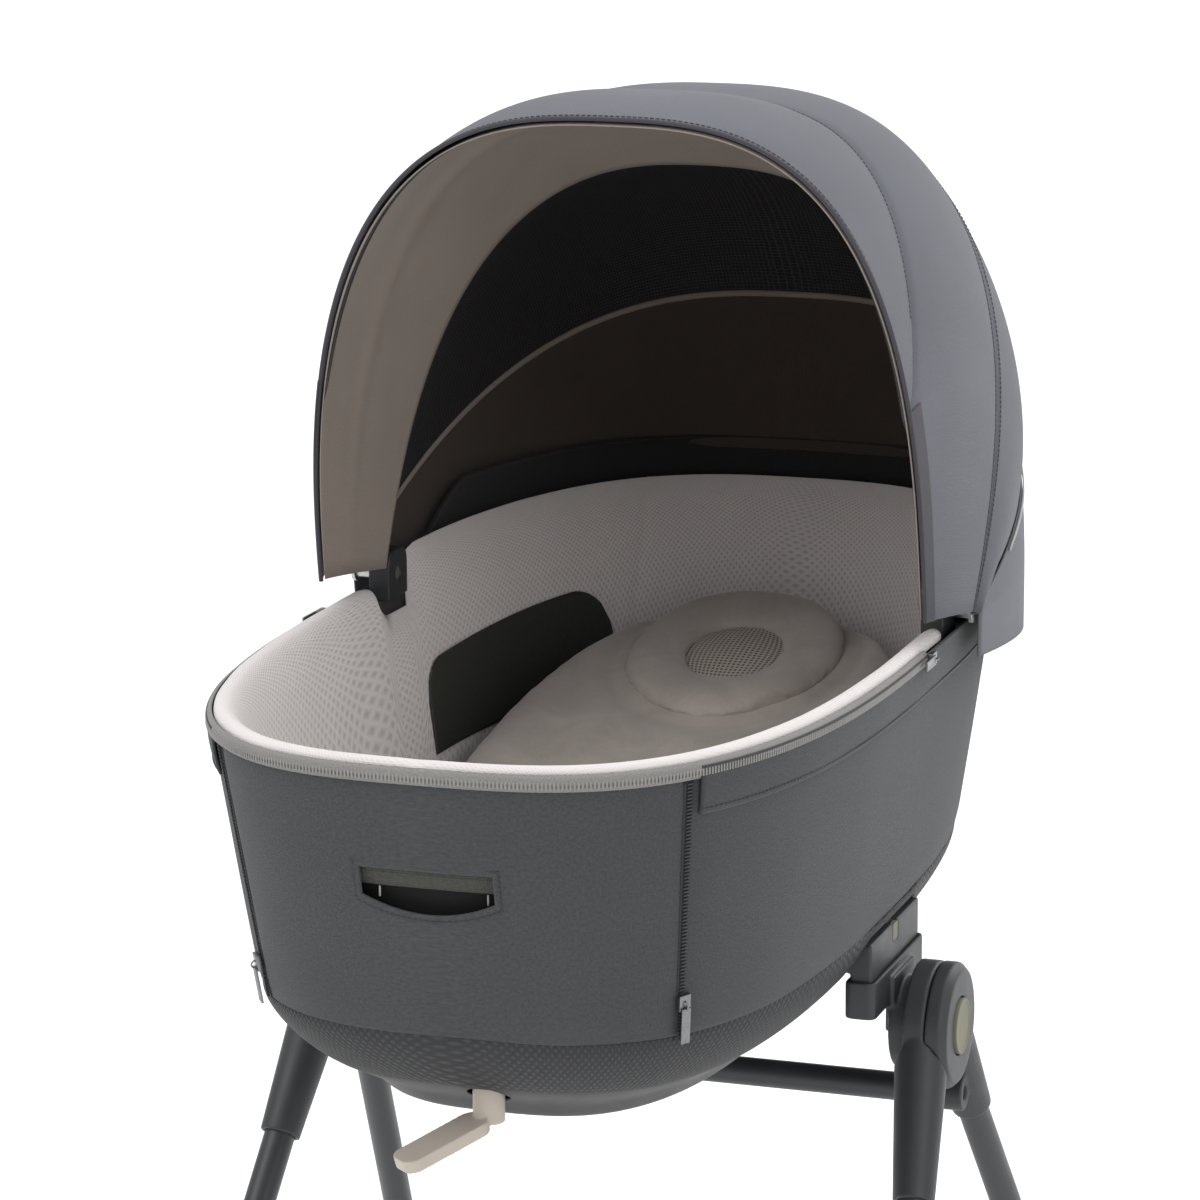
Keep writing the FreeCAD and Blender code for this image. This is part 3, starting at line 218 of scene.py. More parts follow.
def softened(name, nodes, body, finish, voxel=0.0012, passes=4):
    """A moulding made over CAD parts: one skin whose edges are rounded as a mould leaves them."""
    copies = []
    for node in nodes:
        copy = frame["nodes"][node].copy()
        copy.data = frame["nodes"][node].data.copy()
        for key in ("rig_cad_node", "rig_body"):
            del copy[key]
        copy.parent = None
        copy.matrix_world = Matrix.Identity(4)
        bpy.context.scene.collection.objects.link(copy)
        copies.append(copy)
    deselect()
    for copy in copies:
        copy.select_set(True)
    made = copies[0]
    bpy.context.view_layer.objects.active = made
    if len(copies) > 1:
        bpy.ops.object.join()
    made.name = name
    bpy.ops.object.mode_set(mode="EDIT")
    bpy.ops.mesh.select_all(action="SELECT")
    bpy.ops.mesh.remove_doubles(threshold=0.00001)
    bpy.ops.object.mode_set(mode="OBJECT")
    made.data.materials.clear()
    remesh = made.modifiers.new("one_skin", "REMESH")
    remesh.mode = "VOXEL"
    remesh.voxel_size = voxel
    soften = made.modifiers.new("soft_edges", "SMOOTH")
    soften.factor = 0.5
    soften.iterations = passes
    for modifier in ("one_skin", "soft_edges"):
        bpy.ops.object.modifier_apply(modifier=modifier)
    made.data.materials.append(finish)
    for face in made.data.polygons:
        face.use_smooth = True
    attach(made, body)
    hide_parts(*nodes)
    return made


for side in ("left", "right"):
    softened("hub_cover_" + side, ["rear_casing_" + side], "stand_rear", nylon)
    softened("hub_drum_" + side, ["front_casing_" + side], "stand_front", nylon)
    softened("cup_" + side, ["socket_" + side], "stand_rear", nylon)
softened("front_corner_feet", ["front_feet"], "stand_front", foot_rubber, 0.0016)
softened("rear_corner_feet", ["rear_feet"], "stand_rear", foot_rubber, 0.0016)

# Zinc-plated steel: the hub pins, the hood pins and the screws, bright with a turned face.
plated_steel, tree, shader = material("zinc_plated_steel")
turned = add(tree, "TexNoise", {"Vector": place_of(tree), "Scale": 600.0, "Detail": 2.0})
plated_tone = add(tree, "MixRGB", {"Fac": turned.outputs["Fac"], "Color1": colour("#9b9c9c"),
                                   "Color2": colour("#c4c5c4")})
tree.links.new(plated_tone.outputs["Color"], shader.inputs["Base Color"])
shader.inputs["Metallic"].default_value = 1.0
shader.inputs["Roughness"].default_value = 0.3
roughen(tree, shader, turned.outputs["Fac"], 0.2, 0.0001)
dress(["hub_pins", "cross_tube_screws", "hood_pins", "hinge_rod", "lever_pin",
       "button_spring_left", "button_spring_right"], plated_steel)

# ------------------------------------------------------------------ fold buttons
# Olive-grey ABS discs in the hub covers, turned slightly hollow, with a fine shut line round them.

olive_abs = moulded("olive_abs", "#65634f", "#716f5b", 0.48, 0.6, 0.8, 0.08)

for side, sign in (("left", -1), ("right", 1)):
    low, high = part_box("fold_button_" + side)
    centre = (low + high) / 2
    deselect()
    bpy.ops.mesh.primitive_cylinder_add(vertices=96, radius=(high.y - low.y) / 2 - 0.0006,
                                        depth=high.x - low.x, location=centre,
                                        rotation=(0, math.radians(90), 0))
    button = bpy.context.object
    button.name = "hub_button_" + side
    bpy.ops.object.transform_apply(location=True, rotation=True, scale=True)
    bpy.ops.object.mode_set(mode="EDIT")
    bpy.ops.mesh.select_mode(type="FACE")
    bpy.ops.mesh.select_all(action="DESELECT")
    bpy.ops.object.mode_set(mode="OBJECT")
    for face in button.data.polygons:
        face.select = face.normal.x * sign > 0.9
    bpy.ops.object.mode_set(mode="EDIT")
    bpy.ops.mesh.inset(thickness=0.0018, depth=0.0)
    bpy.ops.mesh.inset(thickness=0.0008, depth=-0.0007)
    bpy.ops.mesh.inset(thickness=0.008, depth=-0.0003)
    bpy.ops.object.mode_set(mode="OBJECT")
    edge = button.modifiers.new("edge", "BEVEL")
    edge.width = 0.0006
    edge.segments = 3
    edge.limit_method = "ANGLE"
    bpy.ops.object.modifier_apply(modifier="edge")
    bpy.ops.object.shade_smooth_by_angle(angle=math.radians(35))
    button.data.materials.append(olive_abs)
    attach(button, "fold_button_" + side)
    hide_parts("fold_button_" + side)

# ------------------------------------------------------------------ hull, lugs and latches
# The polypropylene hull under the tub, with its air slot, and the two blocks whose tongues drop
# into the stand's cups. Each block has a sliding latch tab in its notch.

hull_plastic = moulded("fine_grained_polypropylene", "#2b2a2b", "#373536", 0.5, 0.62, 1.1, 0.12)
dress(["base_shell", "base_board", "backrest_board", "recline_rod", "rim_frame"], hull_plastic)
for side in ("left", "right"):
    softened("tub_lug_" + side, ["lug_" + side], "tub", nylon, 0.0011)
dress(["latch_tab_left", "latch_tab_right"], olive_abs)

# ------------------------------------------------------------------ fabric round the tub
# Melange polyester, woven close and laid over foam: a foot panel between two zips, and one cover
# round the sides and the head. Both are sewn to the textured band along their lower edge.

rim_z = 0.800
half_width = 0.228
foot_rim, head_rim = -0.464, 0.441
hub_y = -0.024
wall_depth = 0.195
zip_share = 0.7235
seam_dip = 0.0014


def tub_edges(depth, inset):
    """Half width, foot end, head end and foot squareness of the tub at a depth below its rim."""
    wall = depth / wall_depth
    under = max(0.0, depth - wall_depth) / 0.083
    rounding = 1 - max(0.0, 1 - under ** 1.7) ** 0.85
    return (half_width - 0.026 * wall - 0.076 * rounding - inset,
            foot_rim + 0.052 * wall + 0.086 * rounding + inset,
            head_rim - 0.049 * wall - 0.145 * rounding - inset,
            2.95 + 0.2 * min(1.0, max(0.0, wall)))


def on_tub(angle, depth, inset=0.0):
    """A point of the tub's wall: angle 0 is the right side, a quarter turn the head end."""
    side, foot, head, foot_power = tub_edges(depth, inset)
    c, s = math.cos(angle), math.sin(angle)
    power = 2.8 if s >= 0 else foot_power
    reach = head - hub_y if s >= 0 else hub_y - foot
    return Vector((side * math.copysign(abs(c) ** (2 / power), c),
                   hub_y + reach * math.copysign(abs(s) ** (2 / power), s), rim_z - depth))


def zip_angle(depth):
    """Angle at which the right-hand foot zip runs, in the form's own measure."""
    power = tub_edges(depth, 0)[3]
    return -math.acos(zip_share ** (power / 2))


def cloth_sheet(name, across, along, size, place, closed=False):
    """A cloth made from a grid: place(u, v) gives its points, size its metres for the weave."""
    deselect()
    bpy.ops.mesh.primitive_grid_add(x_subdivisions=across, y_subdivisions=along, size=1)
    sheet = bpy.context.object
    sheet.name = name
    spots = [(v.co.x + 0.5, v.co.y + 0.5) for v in sheet.data.vertices]
    for vertex, (u, v) in zip(sheet.data.vertices, spots):
        vertex.co = place(u, v)
    weave = sheet.data.uv_layers.active.data
    for loop in sheet.data.loops:
        u, v = spots[loop.vertex_index]
        weave[loop.index].uv = (u * size[0], v * size[1])
    if closed:
        bpy.ops.object.mode_set(mode="EDIT")
        bpy.ops.mesh.select_all(action="SELECT")
        bpy.ops.mesh.remove_doubles(threshold=0.00002)
        bpy.ops.object.mode_set(mode="OBJECT")
    for face in sheet.data.polygons:
        face.use_smooth = True
    return sheet


def outward(sheet, flip):
    """Turns the cloth's faces to its good side."""
    if flip:
        deselect()
        sheet.select_set(True)
        bpy.context.view_layer.objects.active = sheet
        bpy.ops.object.mode_set(mode="EDIT")
        bpy.ops.mesh.select_all(action="SELECT")
        bpy.ops.mesh.flip_normals()
        bpy.ops.object.mode_set(mode="OBJECT")
    return sheet


def thicken(sheet, thickness, offset=-1.0):
    """Gives a cloth its thickness, inwards from its good side."""
    wall = sheet.modifiers.new("thickness", "SOLIDIFY")
    wall.thickness = thickness
    wall.offset = offset
    wall.use_even_offset = False
    deselect()
    bpy.context.view_layer.objects.active = sheet
    sheet.select_set(True)
    bpy.ops.object.modifier_apply(modifier="thickness")
    return sheet


def pillow(v, width):
    """0 at a seam at either end of v, rising to 1 within a share of the width."""
    edge = min(v, 1 - v) / width
    return 1.0 if edge >= 1 else math.sin(edge * math.pi / 2)


def ripple(point, size, seed):
    """Slow unevenness of hand-pulled cloth, -1 to 1."""
    return noise.noise(point / size + Vector((seed, 0, seed * 2)))


def woven(name, dark, light, thread_mm, sheen, height_mm, melange_mm=2.2, gloss=0.88):
    """A woven cloth: crossing threads of one pitch, and a melange of two yarn colours."""
    made, tree, shader = material(name)
    cloth = add(tree, "UVMap")
    scale = 314 / thread_mm
    warp = add(tree, "TexWave", {"Vector": cloth.outputs["UV"], "Scale": scale,
                                 "Distortion": 0.6, "Detail": 1.0}, bands_direction="X")
    weft = add(tree, "TexWave", {"Vector": cloth.outputs["UV"], "Scale": scale,
                                 "Distortion": 0.6, "Detail": 1.0}, bands_direction="Y")
    threads = add(tree, "Math", operation="MULTIPLY")
    tree.links.new(warp.outputs["Fac"], threads.inputs[0])
    tree.links.new(weft.outputs["Fac"], threads.inputs[1])
    yarn = add(tree, "TexNoise", {"Vector": cloth.outputs["UV"], "Scale": 1000 / melange_mm,
                                  "Detail": 6.0, "Roughness": 0.7})
    cast = add(tree, "TexNoise", {"Vector": place_of(tree), "Scale": 14.0, "Detail": 3.0})
    blend_yarn = add(tree, "MapRange", {"Value": yarn.outputs["Fac"], "From Min": 0.32,
                                        "From Max": 0.68})
    mixed = add(tree, "MixRGB", {"Fac": blend_yarn.outputs["Result"], "Color1": colour(dark),
                                 "Color2": colour(light)})
    shaded = add(tree, "MapRange", {"Value": cast.outputs["Fac"], "From Min": 0.25,
                                    "From Max": 0.75, "To Min": 0.93, "To Max": 1.06})
    tone = add(tree, "VectorMath", {}, operation="SCALE")
    tree.links.new(mixed.outputs["Color"], tone.inputs[0])
    tree.links.new(shaded.outputs["Result"], tone.inputs["Scale"])
    tree.links.new(tone.outputs["Vector"], shader.inputs["Base Color"])
    shader.inputs["Roughness"].default_value = gloss
    shader.inputs["Sheen Weight"].default_value = sheen
    shader.inputs["Sheen Roughness"].default_value = 0.5
    rough = add(tree, "Math", operation="MULTIPLY_ADD")
    tree.links.new(yarn.outputs["Fac"], rough.inputs[0])
    rough.inputs[1].default_value = 0.8
    tree.links.new(threads.outputs[0], rough.inputs[2])
    roughen(tree, shader, rough.outputs[0], 0.5, height_mm / 1000)
    return made


# Woven polyester of two charcoal yarns; the thread pitch is drawn at 1.6 mm, about twice the
# real one, so that it shows. It looks matt, with a little lint sheen at the edges.
tub_cloth = woven("melange_woven_polyester", "#2f3032", "#424446", 1.6, 0.08, 0.35)
# Twisted polyester thread for the hems, of the cloth's own charcoal.
thread = moulded("twisted_polyester_thread", "#2a2b2d", "#3b3d3f", 0.7, 0.8, 0.5, 0.05)


def foot_panel_point(u, v):
    """Foot panel: u runs from the left zip to the right one, v from the band up to the rim."""
    depth = wall_depth - v * (wall_depth - 0.008)
    edge = zip_angle(depth)
    angle = (-math.pi - edge) + u * (2 * edge + math.pi)
    swell = pillow(u, 0.06) * pillow(v, 0.10)
    bow = 0.0022 * math.sin(math.pi * u) * math.sin(math.pi * v)
    spot = on_tub(angle, depth, seam_dip * (1 - swell) - bow)
    return spot + Vector((0, -1, 0)) * 0.0007 * ripple(spot, 0.07, 3)


foot_panel = cloth_sheet("foot_panel_cloth", 160, 72, (0.33, 0.19), foot_panel_point)
foot_panel.data.materials.append(tub_cloth)
thicken(outward(foot_panel, False), 0.002)

# The carry-handle opening: straight above, arched below, cut through the panel.
slot_half, slot_top, slot_low, slot_sag = 0.046, 0.0725, 0.0925, 0.0115


def slot_outline(grow, steps=14):
    """Outline of the carry-handle opening, as across and depth, clockwise from its top left."""
    half, top = slot_half + grow, slot_top - grow
    points = [(-half, top), (half, top)]
    for step in range(steps + 1):
        x = half - 2 * half * step / steps
        points.append((x, slot_low + grow + slot_sag * (1 - (x / half) ** 2)))
    return points


def prism(name, outline, y_low, y_high):
    """A solid with an upright outline, through the foot of the tub."""
    deselect()
    flat = bpy.data.meshes.new(name)
    flat.from_pydata([(x, y_low, rim_z - depth) for x, depth in outline], [],
                     [list(range(len(outline)))])
    solid = bpy.data.objects.new(name, flat)
    bpy.context.scene.collection.objects.link(solid)
    solid.select_set(True)
    bpy.context.view_layer.objects.active = solid
    bpy.ops.object.mode_set(mode="EDIT")
    bpy.ops.mesh.select_all(action="SELECT")
    bpy.ops.mesh.extrude_region_move(TRANSFORM_OT_translate={"value": (0, y_high - y_low, 0)})
    bpy.ops.mesh.select_all(action="SELECT")
    bpy.ops.mesh.normals_make_consistent(inside=False)
    bpy.ops.object.mode_set(mode="OBJECT")
    return solid


cutter = prism("slot_cutter", slot_outline(0.0), -0.50, -0.36)
opening = foot_panel.modifiers.new("opening", "BOOLEAN")
opening.operation = "DIFFERENCE"
opening.solver = "EXACT"
opening.object = cutter
deselect()
bpy.context.view_layer.objects.active = foot_panel
foot_panel.select_set(True)
bpy.ops.object.modifier_apply(modifier="opening")
bpy.data.objects.remove(cutter)
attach(foot_panel, "tub")
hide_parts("foot_panel")


def side_cover_point(u, v):
    """Side cover: u runs from the right zip round the head to the left one, v upwards."""
    depth = wall_depth - v * (wall_depth - 0.008)
    edge = zip_angle(depth)
    angle = edge + u * (math.pi - 2 * edge)
    swell = pillow(u, 0.02) * pillow(v, 0.10)
    spot = on_tub(angle, depth, seam_dip * (1 - swell))
    out = Vector((math.cos(angle), math.sin(angle), 0))
    return spot + out * 0.0006 * ripple(spot, 0.09, 7)


side_cover = cloth_sheet("side_cover_cloth", 300, 60, (1.75, 0.19), side_cover_point)
side_cover.data.materials.append(tub_cloth)
thicken(outward(side_cover, False), 0.002)
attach(side_cover, "tub")
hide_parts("side_cover")

# ------------------------------------------------------------------ valance
# A second layer of the same cloth that hangs from the rim over the side cover, from one foot zip
# round the head to the other, with a turned and stitched hem.

valance_depth = 0.036


def valance_point(u, v):
    """Valance: u from the right zip round the head, v from its hem up over the rim."""
    depth = valance_depth - v * (valance_depth - 0.002)
    edge = zip_angle(depth) + 0.035
    angle = edge + u * (math.pi - 2 * edge)
    stand = 0.0021 + 0.0011 * math.sin(math.pi * min(1.0, v * 1.1))
    spot = on_tub(angle, depth, -stand)
    out = Vector((math.cos(angle), math.sin(angle), 0))
    return spot + out * 0.0005 * ripple(spot, 0.06, 11)


valance = cloth_sheet("rim_valance", 300, 18, (1.75, 0.036), valance_point)
valance.data.materials.append(tub_cloth)
thicken(outward(valance, False), 0.0018)
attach(valance, "tub")
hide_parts("side_valance")

# ------------------------------------------------------------------ textured band
# Heavy fabric embossed with small diamonds, round the tub between the cloth and the hull. It is
# cut away in an arch over each lug.

band_low = wall_depth + 0.049
diamond_mm = 5.0
band_cloth, tree, shader = material("diamond_embossed_polyester")
cloth_map = add(tree, "UVMap")
turned_map = add(tree, "Mapping", {"Vector": cloth_map.outputs["UV"]})
turned_map.inputs["Rotation"].default_value = (0, 0, math.radians(45))
ridge_a = add(tree, "TexWave", {"Vector": turned_map.outputs["Vector"],
                                "Scale": 314 / diamond_mm}, bands_direction="X")
ridge_b = add(tree, "TexWave", {"Vector": turned_map.outputs["Vector"],
                                "Scale": 314 / diamond_mm}, bands_direction="Y")
diamond = add(tree, "Math", {}, operation="MULTIPLY")
tree.links.new(ridge_a.outputs["Fac"], diamond.inputs[0])
tree.links.new(ridge_b.outputs["Fac"], diamond.inputs[1])
band_tone = add(tree, "MixRGB", {"Fac": diamond.outputs[0], "Color1": colour("#1d1e20"),
                                 "Color2": colour("#3a3b3e")})
tree.links.new(band_tone.outputs["Color"], shader.inputs["Base Color"])
shader.inputs["Roughness"].default_value = 0.66
roughen(tree, shader, diamond.outputs[0], 0.9, 0.0012)


def band_point(u, v):
    """Band: u all the way round from the right side, v from its lower edge up."""
    angle = u * 2 * math.pi
    lug_half = 0.075
    low = band_low
    spot = on_tub(angle, wall_depth, 0)
    reach = abs(spot.y - hub_y) / lug_half
    if abs(spot.x) > 0.15 and reach < 1.25:
        arch = 1 - min(1.0, max(0.0, (reach - 0.8) / 0.45))
        low = band_low - (band_low - wall_depth - 0.008) * (arch * arch * (3 - 2 * arch))
    depth = low - v * (low - wall_depth)
    return on_tub(angle, depth, 0.0012 * (1 - pillow(v, 0.2)))


band = cloth_sheet("embossed_band", 480, 20, (1.95, 0.05), band_point, closed=True)
band.data.materials.append(band_cloth)
thicken(outward(band, False), 0.0022)
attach(band, "tub")
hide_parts("textured_band")

# ------------------------------------------------------------------ stitching
# Rows of twisted polyester thread along the hems: single stitches 3 mm long, drawn a little
# thicker than the real thread so that they show.


def stations(path, pitch):
    """Evenly spaced places along a path of points, each with its direction."""
    spots, travelled = [], 0.0
    for start, end in zip(path, path[1:]):
        length = (end - start).length
        while travelled <= length:
            spots.append((start.lerp(end, travelled / max(length, 1e-9)),
                          (end - start).normalized()))
            travelled += pitch
        travelled -= length
    return spots


def repeated(name, unit, places):
    """One mesh of many copies of a unit; each place is a point, its along and its outward way."""
    points, faces = [], []
    base = [v.co.copy() for v in unit.data.vertices]
    shape = [list(face.vertices) for face in unit.data.polygons]
    for spot, along, out in places:
        side = out.cross(along).normalized()
        up = along.cross(side).normalized()
        start = len(points)
        points += [spot + along * p.x + side * p.y + up * p.z for p in base]
        faces += [[start + index for index in face] for face in shape]
    mesh = bpy.data.meshes.new(name)
    mesh.from_pydata(points, [], faces)
    made = bpy.data.objects.new(name, mesh)
    bpy.context.scene.collection.objects.link(made)
    for face in made.data.polygons:
        face.use_smooth = True
    return made


def small_block(length, width, height, round_by):
    """A little block with rounded edges, the unit of a stitch or a zip tooth."""
    deselect()
    bpy.ops.mesh.primitive_cube_add(size=1, scale=(length, width, height))
    block = bpy.context.object
    bpy.ops.object.transform_apply(location=True, rotation=True, scale=True)
    edge = block.modifiers.new("edge", "BEVEL")
    edge.width = round_by
    edge.segments = 1
    bpy.ops.object.modifier_apply(modifier="edge")
    return block


def stitch_row(name, path, out_at, body, pitch=0.0042, finish=None):
    """A row of stitches along a path; out_at(point) is the cloth's outward way there."""
    unit = small_block(0.0031, 0.0009, 0.0009, 0.0003)
    row = repeated(name, unit, [(spot, along, out_at(spot))
                                for spot, along in stations(path, pitch)])
    bpy.data.objects.remove(unit)
    row.data.materials.append(finish or thread)
    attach(row, body)
    return row


def away_from_tub(spot):
    """Level direction out of the tub's wall at a point, near enough for thread."""
    side, foot, head, foot_power = tub_edges(max(0.0, rim_z - spot.z), 0)
    reach = head - hub_y if spot.y >= hub_y else hub_y - foot
    power = 2.8 if spot.y >= hub_y else foot_power
    across = math.copysign(abs(spot.x / side) ** (power - 1) / side, spot.x)
    along = math.copysign(abs((spot.y - hub_y) / reach) ** (power - 1) / reach, spot.y - hub_y)
    return Vector((across, along, 0)).normalized()


def tub_line(depth_at, first, last, lift, steps=260):
    """A line round the tub at depth_at(angle), between two angles, lifted off the form."""
    path = []
    for step in range(steps + 1):
        angle = first + (last - first) * step / steps
        path.append(on_tub(angle, depth_at(angle), -lift))
    return path


hem_angle = zip_angle(valance_depth) + 0.04
stitch_row("valance_hem_stitches",
           tub_line(lambda angle: valance_depth - 0.004, hem_angle, math.pi - hem_angle, 0.0028),
           away_from_tub, "tub")
slot_path = []
for x, depth in slot_outline(0.0042, 24) + slot_outline(0.0042, 24)[:1]:
    side, foot, head, power = tub_edges(depth, 0)
    y = hub_y - (hub_y - foot) * (1 - abs(x / side) ** power) ** (1 / power)
    slot_path.append(Vector((x, y - 0.0022, rim_z - depth)))
stitch_row("handle_opening_stitches", slot_path, away_from_tub, "tub", 0.0040)

# ------------------------------------------------------------------ carry handle
# A band of olive-black polyester webbing behind the opening in the foot panel, over a dark pocket
# cloth, with a light bar tack at each lower corner.

webbing = woven("ribbed_polyester_webbing", "#30312c", "#45463e", 2.6, 0.05, 0.9, 3.0, 0.8)
pocket_cloth = woven("black_pocket_lining", "#0e0e10", "#18181a", 1.4, 0.0, 0.2, 2.0, 0.9)


def foot_sheet_point(half, top, low, inset):
    """Maker of a strip that follows the foot wall behind the opening."""
    def point(u, v):
        depth = low - v * (low - top)
        side, foot, head, power = tub_edges(depth, 0)
        x = half * (2 * u - 1)
        y = hub_y - (hub_y - foot) * (1 - abs(x / side) ** power) ** (1 / power)
        return Vector((x, y + inset + 0.0010 * math.cos(v * math.pi * 2), rim_z - depth))
    return point


handle = cloth_sheet("carry_handle_webbing", 60, 12, (0.124, 0.022),
                     foot_sheet_point(0.062, 0.068, 0.0865, 0.0035))
handle.data.materials.append(webbing)
thicken(handle, 0.0016)
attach(handle, "tub")
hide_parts("carry_handle")

pocket = cloth_sheet("handle_pocket", 40, 20, (0.12, 0.05),
                     foot_sheet_point(0.060, 0.062, 0.112, 0.0115))
pocket.data.materials.append(pocket_cloth)
thicken(pocket, 0.0010)
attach(pocket, "tub")

pale_thread = moulded("pale_bar_tack_thread", "#8d8c88", "#b3b2ad", 0.6, 0.7, 0.4, 0.05)
tack_unit = small_block(0.0075, 0.0014, 0.0010, 0.0003)
tack_places = []
for x in (-0.036, 0.039):
    side, foot, head, power = tub_edges(0.091, 0)
    y = hub_y - (hub_y - foot) * (1 - abs(x / side) ** power) ** (1 / power)
    tack_places.append((Vector((x, y + 0.0058, rim_z - 0.0915)), Vector((0, 0, 1)),
                        Vector((0, -1, 0))))
tacks = repeated("handle_bar_tacks", tack_unit, tack_places)
bpy.data.objects.remove(tack_unit)
tacks.data.materials.append(pale_thread)
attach(tacks, "tub")

# ------------------------------------------------------------------ zips
# Coil zips: a woven tape, a double row of nylon coil and die-cast sliders. The rim zip is a pale
# grey and runs round the foot end; the two foot zips are dark and stand between the covers.

zip_grey = woven("woven_zip_tape", "#6f6d6b", "#8b8986", 1.3, 0.05, 0.25, 1.4, 0.8)
zip_dark = woven("dark_woven_zip_tape", "#232426", "#323437", 1.3, 0.05, 0.25, 1.4, 0.8)
coil_grey = moulded("nylon_zip_coil", "#777573", "#93918e", 0.4, 0.5, 0.5, 0.04)
coil_dark = moulded("dark_nylon_zip_coil", "#1a1b1d", "#2b2d30", 0.38, 0.5, 0.5, 0.04)
gunmetal, tree, shader = material("die_cast_zinc_slider")
cast_marks = add(tree, "TexNoise", {"Vector": place_of(tree, 1.0), "Scale": 700.0,
                                    "Detail": 4.0})
cast_tone = add(tree, "MixRGB", {"Fac": cast_marks.outputs["Fac"], "Color1": colour("#6d6f71"),
                                 "Color2": colour("#8f9193")})
tree.links.new(cast_tone.outputs["Color"], shader.inputs["Base Color"])
shader.inputs["Metallic"].default_value = 1.0
shader.inputs["Roughness"].default_value = 0.34
roughen(tree, shader, cast_marks.outputs["Fac"], 0.15, 0.0001)


def rim_tape_point(u, v):
    """Rim zip tape: u round the foot from the right end to the left, v from low to high."""
    angle = -0.012 - u * (math.pi - 0.024)
    profile = ((0.0108, -0.0006), (0.0085, -0.0016), (0.0045, -0.0022), (0.0010, -0.0010),
               (-0.0012, 0.0018))
    at = v * (len(profile) - 1)
    index = min(int(at), len(profile) - 2)
    share = at - index
    depth = profile[index][0] * (1 - share) + profile[index + 1][0] * share
    inset = profile[index][1] * (1 - share) + profile[index + 1][1] * share
    return on_tub(angle, depth, inset)


rim_tape = cloth_sheet("rim_zip_band", 260, 12, (1.12, 0.013), rim_tape_point)
rim_tape.data.materials.append(zip_grey)
thicken(outward(rim_tape, True), 0.0011)
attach(rim_tape, "tub")
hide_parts("rim_zip_tape")


def coil_row(name, path, out_at, body, finish, pitch=0.0026, width=0.0052):
    """The nylon coil of a closed zip: little cross bars along a path."""
    unit = small_block(0.0015, width, 0.0013, 0.0004)
    row = repeated(name, unit, [(spot, along, out_at(spot))
                                for spot, along in stations(path, pitch)])
    bpy.data.objects.remove(unit)
    row.data.materials.append(finish)
    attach(row, body)
    return row


coil_row("rim_zip_coil", tub_line(lambda angle: 0.0060, -0.012, 0.012 - math.pi, 0.0024),
         away_from_tub, "tub", coil_grey, 0.0026, 0.0050)


def foot_tape_point(sign):
    """Maker of one foot zip's tape: u across the tape, v from the band up."""
    def point(u, v):
        depth = wall_depth - 0.001 - v * (wall_depth - 0.013)
        edge = zip_angle(depth) + (u - 0.5) * 0.036
        spot = on_tub(edge, depth, 0.0004)
        return Vector((spot.x * sign, spot.y, spot.z))
    return point


def foot_zip_line(sign, lift, steps=60):
    """Centre line of a foot zip, from the band up."""
    path = []
    for step in range(steps + 1):
        depth = wall_depth - 0.001 - step / steps * (wall_depth - 0.014)
        spot = on_tub(zip_angle(depth), depth, -lift)
        path.append(Vector((spot.x * sign, spot.y, spot.z)))
    return path


for side, sign in (("right", 1), ("left", -1)):
    tape = cloth_sheet("foot_zip_tape_" + side, 6, 60, (0.010, 0.185), foot_tape_point(sign))
    tape.data.materials.append(zip_dark)
    thicken(outward(tape, sign < 0), 0.0010)
    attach(tape, "tub")
    coil_row("foot_zip_coil_" + side, foot_zip_line(sign, 0.0006), away_from_tub, "tub",
             coil_dark, 0.0026, 0.0046)
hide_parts("foot_zip_tapes")


def zip_pull(name, spot, up, out, node, finish, tab_length=0.026):
    """A slider with its hinged pull tab hanging from it, cast in one and trimmed."""
    deselect()
    bpy.ops.mesh.primitive_cube_add(size=1, scale=(0.0088, 0.0115, 0.0036),
                                    location=(0, 0, 0.0018))
    parts = [bpy.context.object]
    bpy.ops.mesh.primitive_torus_add(major_radius=0.0026, minor_radius=0.0007,
                                     major_segments=24, minor_segments=8,
                                     location=(0, -0.0015, 0.0040),
                                     rotation=(0, math.radians(90), 0))
    parts.append(bpy.context.object)
    bpy.ops.mesh.primitive_cube_add(size=1, scale=(0.0070, tab_length, 0.0016),
                                    location=(0, -0.0035 - tab_length / 2, 0.0046))
    tab = bpy.context.object
    bpy.ops.object.transform_apply(location=True, rotation=True, scale=True)
    bpy.ops.object.mode_set(mode="EDIT")
    bpy.ops.mesh.select_mode(type="FACE")
    bpy.ops.mesh.select_all(action="DESELECT")
    bpy.ops.object.mode_set(mode="OBJECT")
    for face in tab.data.polygons:
        face.select = face.normal.z > 0.9
    bpy.ops.object.mode_set(mode="EDIT")
    bpy.ops.mesh.inset(thickness=0.0013, depth=0.0)
    bpy.ops.mesh.inset(thickness=0.0004, depth=-0.0004)
    bpy.ops.object.mode_set(mode="OBJECT")
    parts.append(tab)
    deselect()
    for part in parts:
        part.select_set(True)
    bpy.context.view_layer.objects.active = parts[0]
    bpy.ops.object.join()
    pull = bpy.context.object
    pull.name = name
    bpy.ops.object.transform_apply(location=True, rotation=True, scale=True)
    edge = pull.modifiers.new("edge", "BEVEL")
    edge.width = 0.0007
    edge.segments = 2
    edge.limit_method = "ANGLE"
    bpy.ops.object.modifier_apply(modifier="edge")
    across = up.cross(out).normalized()
    turn = Matrix((across, up, out)).transposed().to_4x4()
    pull.data.transform(Matrix.Translation(spot) @ turn)
    bpy.ops.object.shade_smooth_by_angle(angle=math.radians(40))
    pull.data.materials.append(finish)
    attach(pull, node)
    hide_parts(node)
    return pull


